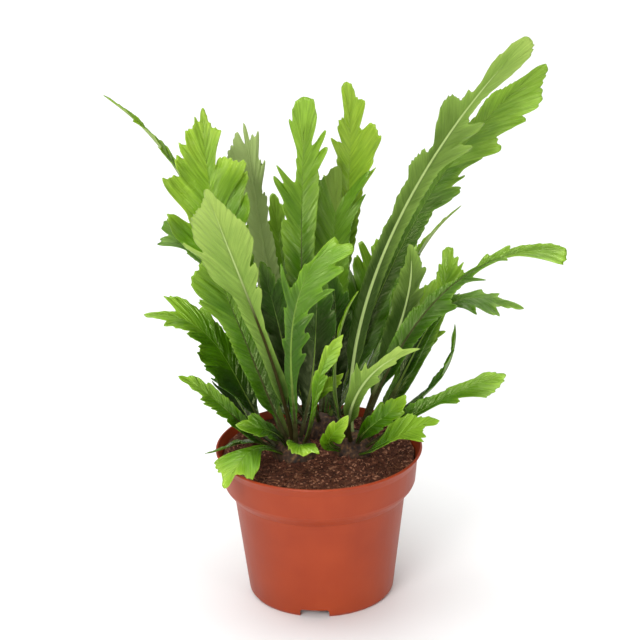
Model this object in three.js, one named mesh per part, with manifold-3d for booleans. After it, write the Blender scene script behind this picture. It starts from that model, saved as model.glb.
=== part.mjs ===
// Potted crested birds nest fern: lobed strap fronds on three crowns, in a plastic nursery pot.
// Millimetres, +Z up. The origin is the middle of the pot's foot, and the fern's front looks along -Y.
import * as THREE from 'three';
import { mergeVertices } from 'three/addons/utils/BufferGeometryUtils.js';
import Module from 'manifold-3d';

const wasm = await Module();
wasm.setup();

// Driving dimensions of the pot
const POT_RIM_RADIUS = 60;
const POT_HEIGHT = 90;
const POT_FOOT_RADIUS = 41;
const POT_BAND_RADIUS = 55.8;
const POT_BAND_LEVEL = 70;
const POT_WALL = 1.2;
const POT_SIDES = 32;
const FLOOR_LEVEL = 5;
const FLOOR_THICKNESS = 1.6;
const CENTRE_FOOT_RADIUS = 12;
const NOTCH_WIDTH = 17;
const NOTCH_HEIGHT = 4.8;
const NOTCH_COUNT = 3;
const FIRST_NOTCH_HEADING = -96;
const DRAIN_COUNT = 6;
const DRAIN_RADIUS = 4;
const DRAIN_CIRCLE = 30;

// Driving dimensions of the soil and the crowns
const GAP = 0.3;
const SOIL_LEVEL = 85.5;
const SOIL_BUMP = 1;
const SOIL_SIDES = 24;
const CROWN_RADIUS = 14;
const CROWN_SIDES = 11;
const CROWN_RINGS = 7;
const CROWNS = {
  left: [-14, -2, 83],
  right: [21, 4, 83],
  back: [2, 30, 83],
};

// Driving dimensions that all the fronds share
const LOBE_RISES_BY = 0.3;
const LOBE_FALLS_FROM = 0.8;
const LOBE_SHOULDER = 0.96;
const STIPE_HALF_WIDTH = 1.3;
const STIPE_THICKNESS = 1.8;
const RIB_THICKNESS = 0.9;
const BLADE_THICKNESS = 0.7;
const ROOT_DEPTH = 4.5;
const ROOT_PLAY = 0.4;
const LOBED_FROM = 0.28;
const VEIN_ANGLE = 46;
const VEIN_LEAN = 46;
const VEIN_LEAN_GAIN = 12;
const RIB_SPACING = 13;
const RIB_CLEARANCE = 4;
const LOBE_STEPS_BY = 1.15;
const NARROWEST_STRIP = 0.3;
const RIPPLE_LENGTH = 14;
const RIPPLE_SPREAD = 20;
const STIPE_SOCKET = 10;

// The fronds. launch is the heading, rise and handle length of the midrib's curve at the crown, bend
// its second handle, face the heading and lift that the upper side looks towards, crest the width
// kept near the tip, and neck the place and depth of a narrow waist.
const USUAL = { twist: 0, fold: 10, wave: 2, stalk: 0.2, crest: 0.6, swell: 0.68, neck: [0.8, 0],
  fan: 10, tone: 'green' };
const FRONDS = [
  // On the left crown
  { name: 'frond_left_1', crown: 'left', launch: [152, 72, 76], bend: [-64, 19, 220],
    tip: [-62, 28, 288], face: [-75, 20], twist: 10, stalk: 0.16, tone: 'young', point: 13,
    right: [[0.06, 11], [0.2, 14], [0.4, 26], [0.46, 30], [0.5, 20], [0.53, 34], [0.56, 36],
      [0.58, 24], [0.6, 38], [0.64, 38], [0.655, 22], [0.67, 38], [0.72, 30], [0.775, 22],
      [0.81, 10], [0.83, 12], [0.86, 24], [0.89, 20], [0.93, 16], [0.97, 14]],
    left: [[0.06, 11], [0.2, 14], [0.38, 14], [0.42, 18], [0.44, 46], [0.48, 52], [0.53, 41],
      [0.54, 28], [0.58, 34], [0.6, 53], [0.64, 44], [0.69, 30], [0.705, 38], [0.74, 36],
      [0.77, 27], [0.795, 32], [0.82, 25], [0.86, 26], [0.9, 20], [0.935, 20], [0.96, 10],
      [0.975, 15]] },
  { name: 'frond_left_2', crown: 'left', launch: [-105, 72, 70], bend: [-44, -28, 208],
    tip: [-58, -49, 267], face: [80, 5], fold: 14, wave: 1.5, stalk: 0.16, tone: 'sage', point: 16,
    right: [[0.06, 7], [0.2, 9], [0.4, 14], [0.49, 17], [0.505, 30], [0.54, 34], [0.56, 32],
      [0.575, 42], [0.595, 46], [0.61, 44], [0.62, 29], [0.64, 28], [0.665, 34], [0.74, 33],
      [0.81, 28], [0.9, 20], [0.96, 17]],
    left: [[0.06, 7], [0.2, 5], [0.38, 4], [0.46, 7], [0.49, 14], [0.515, 14], [0.54, 7],
      [0.57, 19], [0.6, 19], [0.63, 9], [0.645, 17], [0.665, 25], [0.745, 25], [0.825, 20],
      [0.9, 17], [0.95, 15]] },
  { name: 'frond_left_3', crown: 'left', launch: [140, 54, 57], bend: [-44, 30, 204],
    tip: [-90, 46, 202], face: [-50, 40], tone: 'deep', point: 12,
    right: [[0.06, 8], [0.2, 10], [0.5, 14], [0.6, 16], [0.62, 12], [0.7, 18], [0.78, 24],
      [0.8, 19], [0.84, 31], [0.88, 28], [0.92, 24], [0.94, 14], [0.97, 14]],
    left: [[0.06, 7], [0.2, 8], [0.45, 12], [0.5, 7], [0.6, 11], [0.65, 6], [0.75, 8], [0.83, 9],
      [0.865, 9], [0.88, 3], [0.935, 19], [0.96, 17], [0.99, 9]] },
  { name: 'frond_left_4', crown: 'left', launch: [-150, 68, 52], bend: [-46, -10, 178],
    tip: [-62, -14, 222], face: [-70, 30], stalk: 0.16, point: 16,
    right: [[0.06, 10], [0.2, 12], [0.42, 16], [0.5, 12], [0.56, 19], [0.66, 19], [0.72, 12],
      [0.78, 19], [0.9, 17]],
    left: [[0.06, 10], [0.2, 12], [0.4, 15], [0.565, 17], [0.6, 25], [0.615, 32], [0.64, 31],
      [0.665, 26], [0.7, 32], [0.75, 33], [0.79, 30], [0.87, 22], [0.95, 17]] },
  { name: 'frond_left_5', crown: 'left', launch: [178, 45, 52], bend: [-48, -14, 184],
    tip: [-97, -22, 183], face: [-70, 60], point: 12,
    right: [[0.06, 11], [0.25, 14], [0.45, 20], [0.55, 16], [0.6, 22], [0.64, 17], [0.66, 25],
      [0.68, 20], [0.725, 26], [0.75, 22], [0.81, 23], [0.84, 9], [0.9, 7], [0.97, 8]],
    left: [[0.06, 11], [0.12, 14], [0.24, 32], [0.3, 34], [0.37, 30], [0.42, 40], [0.45, 46],
      [0.48, 30], [0.53, 24], [0.56, 20], [0.6, 22], [0.7, 17], [0.75, 18], [0.8, 15], [0.84, 19],
      [0.87, 13], [0.95, 13]] },
  { name: 'frond_left_6', crown: 'left', launch: [-150, 32, 40], bend: [-48, -32, 132],
    tip: [-78, -40, 153], face: [-80, 50], wave: 1.5, point: 10,
    right: [[0.06, 7], [0.3, 8], [0.5, 10], [0.6, 8], [0.71, 12], [0.75, 8], [0.8, 9], [0.85, 12],
      [0.87, 8], [0.905, 12], [0.93, 8], [0.97, 9]],
    left: [[0.06, 7], [0.2, 8], [0.35, 10], [0.43, 6], [0.5, 12], [0.54, 9], [0.585, 13], [0.61, 9],
      [0.655, 15], [0.69, 10], [0.73, 15], [0.77, 7], [0.84, 5], [0.88, 8], [0.93, 6], [0.96, 10]] },
  { name: 'frond_left_7', crown: 'left', launch: [-132, 34, 38], bend: [-40, -36, 109],
    tip: [-54, -51, 88], face: [-90, 60], wave: 1, tone: 'young', point: 11,
    right: [[0.06, 3], [0.4, 4], [0.5, 8], [0.54, 20], [0.57, 21], [0.7, 18], [0.79, 15],
      [0.845, 11], [0.92, 11], [0.97, 12]],
    left: [[0.06, 3], [0.32, 4], [0.365, 19], [0.48, 20], [0.545, 21], [0.65, 17], [0.79, 9],
      [0.9, 3], [0.93, 9], [0.97, 11]] },
  { name: 'frond_left_8', crown: 'left', launch: [-178, 33, 34], bend: [-48, -8, 94],
    tip: [-66, -10, 91], face: [90, 75], wave: 1, tone: 'deep', stalk: 0.12, point: 5,
    right: [[0.06, 6], [0.3, 8], [0.42, 6], [0.5, 8], [0.65, 6], [0.75, 3], [0.85, 4], [0.95, 3]],
    left: [[0.06, 6], [0.25, 9], [0.4, 7], [0.45, 9], [0.6, 6], [0.7, 3], [0.9, 3]] },
  { name: 'frond_left_9', crown: 'left', launch: [-86, 50, 20], bend: [-11, -29, 108],
    tip: [-9, -36, 100], width: 21, lobes: 3, cut: 0.3, face: [-60, 60], wave: 0.6, tone: 'young',
    stalk: 0.36, swell: 0.2 },
  { name: 'frond_left_10', crown: 'left', launch: [-84, 64, 56], bend: [-27, -30, 192],
    tip: [11, -20, 227], face: [-85, 10], wave: 1.5, stalk: 0.16, tone: 'young', point: 17,
    right: [[0.06, 3], [0.2, 4], [0.26, 6], [0.31, 9], [0.335, 15], [0.38, 10], [0.415, 9],
      [0.43, 17], [0.465, 16], [0.48, 12], [0.52, 12], [0.55, 19], [0.58, 17], [0.6, 12],
      [0.635, 12], [0.65, 31], [0.68, 29], [0.7, 20], [0.74, 20], [0.78, 32], [0.81, 31],
      [0.84, 23], [0.865, 22], [0.88, 34], [0.925, 31], [0.95, 22]],
    left: [[0.06, 3], [0.2, 3.5], [0.27, 6], [0.42, 5], [0.465, 9], [0.49, 5], [0.56, 8],
      [0.615, 12], [0.64, 8], [0.66, 10], [0.672, 33], [0.7, 27], [0.72, 12], [0.8, 7], [0.85, 11],
      [0.93, 6], [0.985, 5]] },
  { name: 'frond_left_11', crown: 'left', launch: [-40, 57, 36], bend: [-6, -20, 146],
    tip: [15, -18, 167], face: [-60, 20], wave: 0.8, tone: 'young', stalk: 0.3, point: 5,
    right: [[0.06, 2], [0.2, 3], [0.3, 6], [0.42, 9], [0.47, 5], [0.53, 4], [0.6, 10], [0.68, 12],
      [0.76, 9], [0.82, 9], [0.92, 6]],
    left: [[0.06, 2], [0.2, 3], [0.38, 7], [0.5, 7], [0.55, 4], [0.66, 6], [0.74, 9], [0.8, 6],
      [0.86, 7], [0.94, 5]] },
  { name: 'frond_left_12', crown: 'back', launch: [-104, 62, 26], bend: [-9, 12, 110],
    tip: [15, 1, 135], width: 10, lobes: 4, cut: 0.55, face: [-70, 20], wave: 0.5, stalk: 0.4,
    tone: 'young' },
  { name: 'frond_left_13', crown: 'left', launch: [-130, 56, 26], bend: [-27, -31, 116],
    tip: [-47, -37, 121], width: 20, lobes: 3, cut: 0.35, face: [-80, 50], wave: 0.5, stalk: 0.12 },
  { name: 'frond_left_14', crown: 'left', launch: [152, 24, 42], bend: [-44, 26, 112],
    tip: [-64, 44, 122], width: 28, lobes: 4, cut: 0.55, face: [-30, 60], tone: 'deep', swell: 0.45,
    stalk: 0.12 },
  { name: 'frond_left_15', crown: 'left', launch: [20, 74, 56], bend: [-2, 6, 150],
    tip: [2, 4, 200], width: 26, lobes: 4, cut: 0.45, face: [-90, 20], tone: 'deep', swell: 0.4,
    stalk: 0.12 },
  { name: 'frond_left_16', crown: 'left', launch: [92, 70, 56], bend: [-23, 3, 171],
    tip: [-31, 1, 205], width: 26, lobes: 5, cut: 0.45, face: [-80, 20], tone: 'deep', swell: 0.45,
    stalk: 0.12 },

  // On the right crown
  { name: 'frond_right_1', crown: 'right', launch: [150, 82, 84], bend: [56, 14, 262],
    tip: [119, -6, 336], face: [85, 5], stalk: 0.14, tone: 'sage', point: 26,
    right: [[0.06, 7], [0.2, 8], [0.4, 9], [0.47, 8], [0.49, 11], [0.55, 11], [0.562, 9],
      [0.575, 17], [0.61, 15], [0.65, 13], [0.66, 5], [0.68, 8], [0.695, 4], [0.715, 18],
      [0.74, 24], [0.765, 24], [0.8, 17], [0.82, 10], [0.845, 13], [0.87, 7], [0.9, 8], [0.92, 13],
      [0.925, 18], [0.945, 20], [0.97, 24]],
    left: [[0.06, 7], [0.2, 8], [0.4, 10], [0.55, 12], [0.62, 14], [0.65, 28], [0.67, 27],
      [0.69, 14], [0.705, 21], [0.73, 27], [0.755, 22], [0.77, 13], [0.8, 8], [0.85, 9],
      [0.875, 13], [0.9, 22], [0.93, 30], [0.94, 33], [0.965, 32]] },
  { name: 'frond_right_5', crown: 'right', launch: [52, 64, 51], bend: [60, 18, 169],
    tip: [54, 16, 208], face: [85, 10], tone: 'sage', point: 10,
    right: [[0.06, 7], [0.2, 8], [0.4, 14], [0.5, 12], [0.6, 15], [0.7, 12], [0.79, 13], [0.86, 9],
      [0.93, 10]],
    left: [[0.06, 7], [0.2, 8], [0.4, 12], [0.53, 12], [0.555, 14], [0.6, 10], [0.635, 15],
      [0.66, 15], [0.72, 8], [0.75, 14], [0.775, 18], [0.8, 14], [0.85, 13], [0.92, 12]] },
  { name: 'frond_right_6', crown: 'right', launch: [-10, 72, 64], bend: [73, 4, 216],
    tip: [142, -2, 209], face: [-100, 50], point: 14,
    right: [[0.06, 8], [0.2, 10], [0.33, 14], [0.37, 16], [0.41, 22], [0.45, 13], [0.5, 9],
      [0.58, 7], [0.595, 11], [0.61, 27], [0.625, 7], [0.7, 4], [0.79, 3], [0.8, 10], [0.81, 3],
      [0.845, 4], [0.865, 6], [0.875, 14], [0.885, 28], [0.91, 27], [0.96, 20]],
    left: [[0.06, 8], [0.2, 10], [0.3, 12], [0.35, 9], [0.39, 5], [0.415, 10], [0.44, 7], [0.48, 7],
      [0.58, 3], [0.7, 2], [0.715, 9], [0.74, 4], [0.775, 10], [0.79, 13], [0.82, 5], [0.84, 8],
      [0.895, 10], [0.93, 14], [0.96, 15]] },
  { name: 'frond_right_7', crown: 'right', launch: [20, 50, 60], bend: [76, 26, 160],
    tip: [77, 34, 199], face: [-110, 25], point: 9,
    right: [[0.06, 7], [0.2, 7], [0.5, 8], [0.65, 10], [0.7, 12], [0.745, 24], [0.765, 21],
      [0.8, 17], [0.82, 21], [0.84, 14], [0.88, 16], [0.92, 9], [0.95, 13]],
    left: [[0.06, 7], [0.2, 7], [0.5, 8], [0.7, 7], [0.765, 9], [0.8, 13], [0.83, 9], [0.865, 12],
      [0.9, 8], [0.945, 13], [0.98, 9]] },
  { name: 'frond_right_8', crown: 'right', launch: [2, 55, 80], bend: [60, 24, 190],
    tip: [118, -4, 175], face: [-95, 60], stalk: 0.3, point: 10,
    right: [[0.06, 7], [0.3, 6], [0.5, 4], [0.58, 5], [0.6, 22], [0.635, 21], [0.66, 15],
      [0.695, 16], [0.705, 24], [0.745, 26], [0.8, 22], [0.81, 12], [0.875, 12], [0.95, 11]],
    left: [[0.06, 7], [0.3, 6], [0.5, 7], [0.59, 10], [0.62, 6], [0.68, 6], [0.72, 10], [0.775, 6],
      [0.81, 5], [0.825, 11], [0.87, 5], [0.93, 4], [0.965, 8]] },
  { name: 'frond_right_9', crown: 'right', launch: [36, 38, 42], bend: [54, 26, 138],
    tip: [72, 30, 163], face: [-80, 50], point: 11,
    right: [[0.06, 7], [0.25, 7], [0.49, 8], [0.53, 12], [0.565, 15], [0.62, 12], [0.665, 16],
      [0.71, 15], [0.75, 21], [0.79, 15], [0.85, 12], [0.9, 14], [0.925, 18], [0.95, 12]],
    left: [[0.06, 7], [0.25, 7], [0.4, 10], [0.47, 6], [0.53, 12], [0.6, 12], [0.65, 7], [0.72, 12],
      [0.8, 12], [0.86, 8], [0.93, 11]] },
  { name: 'frond_right_10', crown: 'right', launch: [-26, 52, 47], bend: [81, 0, 122],
    tip: [79, 2, 164], width: 14, lobes: 4, cut: 0.45, face: [180, 40], tone: 'deep', stalk: 0.12 },
  { name: 'frond_right_11', crown: 'right', launch: [-52, 38, 50], bend: [74, -28, 137],
    tip: [106, -36, 148], face: [-100, 60], point: 13,
    right: [[0.06, 7], [0.2, 5], [0.35, 3], [0.56, 5], [0.585, 14], [0.64, 14], [0.655, 6],
      [0.69, 16], [0.7, 30], [0.76, 25], [0.865, 20], [0.915, 17], [0.955, 16]],
    left: [[0.06, 7], [0.15, 6], [0.3, 11], [0.47, 9], [0.6, 8], [0.75, 8], [0.82, 9], [0.85, 13],
      [0.9, 13], [0.95, 12]] },
  { name: 'frond_right_12', crown: 'right', launch: [-76, 22, 38], bend: [48, -38, 118],
    tip: [68, -50, 127], face: [-90, 60], point: 11,
    right: [[0.06, 7], [0.2, 4], [0.45, 3], [0.57, 5], [0.62, 22], [0.65, 26], [0.7, 22],
      [0.745, 25], [0.8, 16], [0.86, 8], [0.91, 4], [0.94, 12]],
    left: [[0.06, 7], [0.15, 8], [0.3, 16], [0.49, 19], [0.6, 16], [0.75, 12], [0.87, 11],
      [0.95, 10]] },
  { name: 'frond_right_13', crown: 'right', launch: [-112, 56, 42], bend: [26, -28, 156],
    tip: [58, -36, 165], face: [75, 0], tone: 'sage', point: 15,
    right: [[0.06, 7], [0.2, 8], [0.32, 10], [0.38, 15], [0.4, 11], [0.425, 20], [0.46, 12],
      [0.52, 9], [0.57, 12], [0.6, 6], [0.75, 5], [0.85, 8], [0.89, 13], [0.92, 10], [0.95, 8]],
    left: [[0.06, 7], [0.2, 6], [0.45, 7], [0.57, 11], [0.62, 6], [0.75, 5], [0.85, 8], [0.88, 5],
      [0.95, 6]] },
  { name: 'frond_right_14', crown: 'right', launch: [-138, 26, 34], bend: [7, -30, 108],
    tip: [17, -31, 123], width: 17, lobes: 3, cut: 0.45, face: [-80, 30], wave: 0.6, tone: 'young',
    stalk: 0.12 },
  { name: 'frond_right_15', crown: 'right', launch: [-82, 50, 34], bend: [42, -18, 116],
    tip: [50, -20, 130], width: 20, lobes: 4, cut: 0.45, face: [-80, 40], tone: 'sage', stalk: 0.12 },
  { name: 'frond_right_16', crown: 'right', launch: [158, 62, 50], bend: [18, 24, 150],
    tip: [8, 14, 196], width: 26, lobes: 4, cut: 0.45, face: [-90, 20], tone: 'deep', swell: 0.4,
    stalk: 0.12 },
  { name: 'frond_right_17', crown: 'right', launch: [-150, 64, 50], bend: [12, -8, 176],
    tip: [24, -12, 191], width: 8, lobes: 3, cut: 0.35, face: [180, 20], tone: 'sage', stalk: 0.12 },

  // On the back crown
  { name: 'frond_right_2', crown: 'back', launch: [46, 74, 65], bend: [8, 60, 189],
    tip: [15, 62, 240], face: [-95, 20], wave: 2.5, tone: 'deep', point: 19,
    right: [[0.06, 7], [0.2, 9], [0.4, 14], [0.6, 15], [0.68, 17], [0.725, 19], [0.735, 26],
      [0.76, 30], [0.78, 37], [0.79, 18], [0.81, 16], [0.82, 28], [0.835, 36], [0.84, 42],
      [0.865, 34], [0.88, 24], [0.9, 10], [0.93, 9], [0.96, 14], [0.985, 17]],
    left: [[0.06, 7], [0.2, 9], [0.4, 26], [0.495, 34], [0.53, 26], [0.6, 29], [0.63, 24],
      [0.72, 30], [0.79, 31], [0.81, 27], [0.86, 29], [0.88, 24], [0.93, 23], [0.98, 18]] },
  { name: 'frond_right_3', crown: 'back', launch: [6, 68, 90], bend: [60, 42, 248],
    tip: [132, 34, 308], face: [-80, 10], stalk: 0.15, point: 22,
    right: [[0.06, 7], [0.2, 8], [0.4, 12], [0.51, 11], [0.53, 22], [0.55, 23], [0.585, 13],
      [0.6, 14], [0.61, 24], [0.62, 12], [0.65, 14], [0.665, 24], [0.68, 20], [0.7, 31],
      [0.735, 25], [0.76, 19], [0.77, 24], [0.81, 33], [0.835, 23], [0.86, 35], [0.9, 31],
      [0.925, 26], [0.94, 27], [0.98, 24]],
    left: [[0.06, 7], [0.2, 8], [0.45, 12], [0.6, 13], [0.75, 14], [0.8, 12], [0.855, 20],
      [0.9, 17], [0.945, 15], [0.975, 15]] },
  { name: 'frond_right_4', crown: 'back', launch: [20, 46, 60], bend: [48, 54, 190],
    tip: [86, 64, 213], width: 18, lobes: 5, cut: 0.5, face: [170, 45], tone: 'sage', stalk: 0.12 },
  { name: 'frond_back_1', crown: 'back', launch: [176, 47, 87], bend: [-50, 62, 236],
    tip: [-121, 76, 281], width: 22, lobes: 6, cut: 0.5, face: [0, 45], tone: 'sage', stalk: 0.12 },
  { name: 'frond_back_2', crown: 'back', launch: [-178, 66, 71], bend: [-31, 57, 206],
    tip: [-40, 60, 268], face: [100, 0], tone: 'sage', fan: 4, point: 18,
    right: [[0.06, 8], [0.2, 10], [0.45, 14], [0.62, 14], [0.74, 20], [0.765, 33], [0.84, 29],
      [0.92, 25], [0.945, 12], [0.96, 12], [0.98, 17]],
    left: [[0.06, 7], [0.2, 9], [0.5, 12], [0.62, 9], [0.66, 14], [0.695, 15], [0.73, 11],
      [0.76, 12], [0.77, 26], [0.785, 24], [0.8, 16], [0.815, 20], [0.835, 15], [0.865, 30],
      [0.89, 22], [0.915, 23], [0.93, 14], [0.965, 17]] },
  { name: 'frond_back_3', crown: 'back', launch: [-150, 76, 77], bend: [-6, 42, 225],
    tip: [-5, 38, 290], face: [-80, 10], point: 24,
    right: [[0.06, 10], [0.3, 12], [0.5, 14], [0.7, 18], [0.76, 16], [0.78, 27], [0.8, 26],
      [0.815, 14], [0.83, 20], [0.85, 31], [0.86, 28], [0.87, 12], [0.9, 14], [0.915, 27],
      [0.94, 25], [0.955, 29]],
    left: [[0.06, 11], [0.3, 14], [0.5, 20], [0.56, 14], [0.58, 22], [0.6, 17], [0.62, 22],
      [0.645, 33], [0.66, 31], [0.68, 14], [0.7, 26], [0.715, 31], [0.73, 22], [0.745, 8],
      [0.83, 7], [0.845, 10], [0.86, 6], [0.885, 10], [0.905, 26], [0.925, 20], [0.94, 27],
      [0.965, 27]] },
  { name: 'frond_back_4', crown: 'back', launch: [80, 64, 90], bend: [27, 78, 215],
    tip: [20, 74, 287], face: [-110, 15], tone: 'young', point: 14,
    right: [[0.06, 7], [0.2, 9], [0.45, 14], [0.58, 16], [0.605, 30], [0.615, 19], [0.64, 27],
      [0.66, 24], [0.675, 39], [0.715, 35], [0.785, 27], [0.81, 16], [0.83, 12], [0.85, 22],
      [0.87, 26], [0.9, 20], [0.925, 17], [0.955, 19]],
    left: [[0.06, 7], [0.2, 9], [0.45, 16], [0.53, 18], [0.55, 28], [0.58, 20], [0.65, 12],
      [0.71, 14], [0.735, 23], [0.755, 15], [0.79, 8], [0.825, 15], [0.86, 14], [0.885, 8],
      [0.92, 9], [0.945, 15], [0.96, 17]] },
  { name: 'frond_back_5', crown: 'back', launch: [148, 42, 60], bend: [-50, 70, 150],
    tip: [-62, 90, 190], width: 34, lobes: 5, cut: 0.6, face: [-30, 50], swell: 0.5, stalk: 0.12 },
  { name: 'frond_back_6', crown: 'back', launch: [118, 56, 60], bend: [-20, 84, 172],
    tip: [-25, 106, 208], width: 34, lobes: 6, cut: 0.6, face: [-60, 45], swell: 0.5, stalk: 0.12 },
  { name: 'frond_back_7', crown: 'back', launch: [92, 42, 60], bend: [8, 90, 150],
    tip: [12, 120, 170], width: 32, lobes: 5, cut: 0.55, face: [-90, 50], tone: 'deep', swell: 0.5,
    stalk: 0.12 },
  { name: 'frond_back_8', crown: 'back', launch: [46, 58, 60], bend: [40, 76, 160],
    tip: [48, 100, 192], width: 44, lobes: 6, cut: 0.5, face: [-110, 40], swell: 0.35, stalk: 0.12 },
  { name: 'frond_back_9', crown: 'back', launch: [34, 36, 60], bend: [58, 72, 132],
    tip: [72, 92, 156], width: 30, lobes: 5, cut: 0.55, face: [-140, 50], stalk: 0.12 },
  { name: 'frond_back_10', crown: 'back', launch: [112, 20, 45], bend: [-14, 95, 118],
    tip: [-22, 122, 122], width: 30, lobes: 4, cut: 0.55, face: [-80, 65], tone: 'deep',
    stalk: 0.12 },
  { name: 'frond_back_11', crown: 'back', launch: [66, 20, 45], bend: [36, 88, 118],
    tip: [46, 108, 118], width: 28, lobes: 4, cut: 0.55, face: [-110, 65], stalk: 0.12 },
  { name: 'frond_back_12', crown: 'back', launch: [152, 18, 45], bend: [-42, 70, 112],
    tip: [-64, 92, 114], width: 28, lobes: 4, cut: 0.55, face: [-40, 65], stalk: 0.12 },
];

const radians = THREE.MathUtils.degToRad;

function smooth(from, to, value) {
  return THREE.MathUtils.smoothstep(value, from, to);
}

// A unit vector from its heading round Z and its rise above level, in degrees
function direction(azimuth, rise) {
  const level = Math.cos(radians(rise));
  const x = level * Math.cos(radians(azimuth));
  const y = level * Math.sin(radians(azimuth));
  return new THREE.Vector3(x, y, Math.sin(radians(rise)));
}

// A repeatable draw from 0 to 1, the same for the same seed and count
function draw(seed, count) {
  const value = Math.sin(seed * 12.9898 + count * 78.233) * 43758.5453;
  return value - Math.floor(value);
}

function toSolid(geometry) {
  const bare = geometry.clone();
  bare.deleteAttribute('normal');
  bare.deleteAttribute('uv');
  const merged = mergeVertices(bare, 1e-4);
  const vertProperties = new Float32Array(merged.attributes.position.array);
  const triVerts = new Uint32Array(merged.index.array);
  return new wasm.Manifold(new wasm.Mesh({ numProp: 3, vertProperties, triVerts }));
}

function toGeometry(solid) {
  const mesh = solid.getMesh();
  const geometry = new THREE.BufferGeometry();
  geometry.setAttribute('position', new THREE.BufferAttribute(new Float32Array(mesh.vertProperties), 3));
  geometry.setIndex(new THREE.BufferAttribute(new Uint32Array(mesh.triVerts), 1));
  geometry.computeVertexNormals();
  return geometry;
}

// A turned solid about Z from a profile of radius and height
function turned(profile, sides) {
  const points = profile.map(([radius, height]) => new THREE.Vector2(radius, height));
  return new THREE.LatheGeometry(points, sides).rotateX(Math.PI / 2);
}

function addMesh(group, name, geometry, colour, roughness) {
  const material = new THREE.MeshStandardMaterial({ color: colour, roughness, metalness: 0 });
  const mesh = new THREE.Mesh(geometry, material);
  mesh.name = name;
  group.add(mesh);
}

// The pot's inner face, from the floor up: also the soil's side, less the gap
const INNER_WALL = [
  [POT_FOOT_RADIUS - 0.1, FLOOR_LEVEL + FLOOR_THICKNESS],
  [48.3, 60],
  [49.8, 64],
  [53.8, 68.9],
  [POT_BAND_RADIUS - POT_WALL, POT_BAND_LEVEL + 0.6],
  [56, 84],
];

function potGeometry() {
  const profile = [
    [0, 0],
    [CENTRE_FOOT_RADIUS, 0],
    [CENTRE_FOOT_RADIUS + 3, FLOOR_LEVEL],
    [POT_FOOT_RADIUS - 3.2, FLOOR_LEVEL],
    [POT_FOOT_RADIUS - 2.2, 0],
    [POT_FOOT_RADIUS, 0],
    [POT_FOOT_RADIUS + 1.3, 1.8],
    [49.5, 59.5],
    [51, 63.2],
    [54.9, 68],
    [POT_BAND_RADIUS, POT_BAND_LEVEL],
    [57.2, 84],
    [59, 87.6],
    [POT_RIM_RADIUS, 89.2],
    [POT_RIM_RADIUS - 0.5, POT_HEIGHT],
    [58.6, POT_HEIGHT],
    [58, 88.2],
    ...INNER_WALL.toReversed(),
    [CENTRE_FOOT_RADIUS + 2.4, FLOOR_LEVEL + FLOOR_THICKNESS],
    [CENTRE_FOOT_RADIUS - 0.6, FLOOR_THICKNESS],
    [0, FLOOR_THICKNESS],
  ];
  let pot = toSolid(turned(profile, POT_SIDES));
  const half = NOTCH_WIDTH / 2;
  const arch = new THREE.Shape();
  arch.moveTo(-half, -1);
  arch.lineTo(half, -1);
  arch.lineTo(half, NOTCH_HEIGHT - 1.5);
  arch.lineTo(half - 1.5, NOTCH_HEIGHT);
  arch.lineTo(1.5 - half, NOTCH_HEIGHT);
  arch.lineTo(-half, NOTCH_HEIGHT - 1.5);
  for (let index = 0; index < NOTCH_COUNT; index += 1) {
    const heading = radians(FIRST_NOTCH_HEADING + index * 360 / NOTCH_COUNT);
    const notch = new THREE.ExtrudeGeometry(arch, { depth: 12, bevelEnabled: false });
    notch.rotateX(Math.PI / 2).translate(0, POT_FOOT_RADIUS + 7, 0).rotateZ(heading - Math.PI / 2);
    pot = pot.subtract(toSolid(notch));
  }
  for (let index = 0; index < DRAIN_COUNT; index += 1) {
    const heading = radians(FIRST_NOTCH_HEADING + index * 360 / DRAIN_COUNT);
    const drain = new THREE.CylinderGeometry(DRAIN_RADIUS, DRAIN_RADIUS, 6, 10).rotateX(Math.PI / 2);
    drain.translate(DRAIN_CIRCLE, 0, FLOOR_LEVEL + 1).rotateZ(heading);
    pot = pot.subtract(toSolid(drain));
  }
  return toGeometry(pot);
}

// How far the peat's surface stands above its level
function soilHeight(x, y) {
  const ripple = Math.sin(x * 0.21 + 1.3) * Math.cos(y * 0.17 - 0.4) + 0.6 * Math.sin(x * 0.37 - y * 0.29);
  const heap = Math.exp(-((x + 34) ** 2 + (y - 22) ** 2) / 500);
  return SOIL_BUMP * ripple * 0.6 + 1.6 * heap;
}

function soilGeometry() {
  const side = INNER_WALL.slice(0, 5).map(([radius, height]) => [radius - GAP, height]);
  side[0][1] += GAP;
  const profile = [
    [0, FLOOR_THICKNESS + GAP],
    [CENTRE_FOOT_RADIUS - 1, FLOOR_THICKNESS + GAP],
    [CENTRE_FOOT_RADIUS + 2, FLOOR_LEVEL + FLOOR_THICKNESS + GAP],
    ...side,
    [55.7, 83.6],
    [54.5, SOIL_LEVEL - 1],
    [46, SOIL_LEVEL],
    [35, SOIL_LEVEL],
    [23, SOIL_LEVEL],
    [11, SOIL_LEVEL],
    [0, SOIL_LEVEL],
  ];
  const geometry = turned(profile, SOIL_SIDES);
  const position = geometry.attributes.position;
  for (let index = 0; index < position.count; index += 1) {
    if (position.getZ(index) > SOIL_LEVEL - 1.5) {
      const lift = soilHeight(position.getX(index), position.getY(index));
      position.setZ(index, position.getZ(index) + lift);
    }
  }
  let soil = toSolid(geometry);
  for (const place of Object.values(CROWNS)) {
    soil = soil.subtract(toSolid(crownBall(CROWN_RADIUS + GAP).translate(...place)));
  }
  return toGeometry(soil);
}

function crownBall(radius) {
  return new THREE.SphereGeometry(radius, CROWN_SIDES, CROWN_RINGS).rotateX(Math.PI / 2);
}

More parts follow.
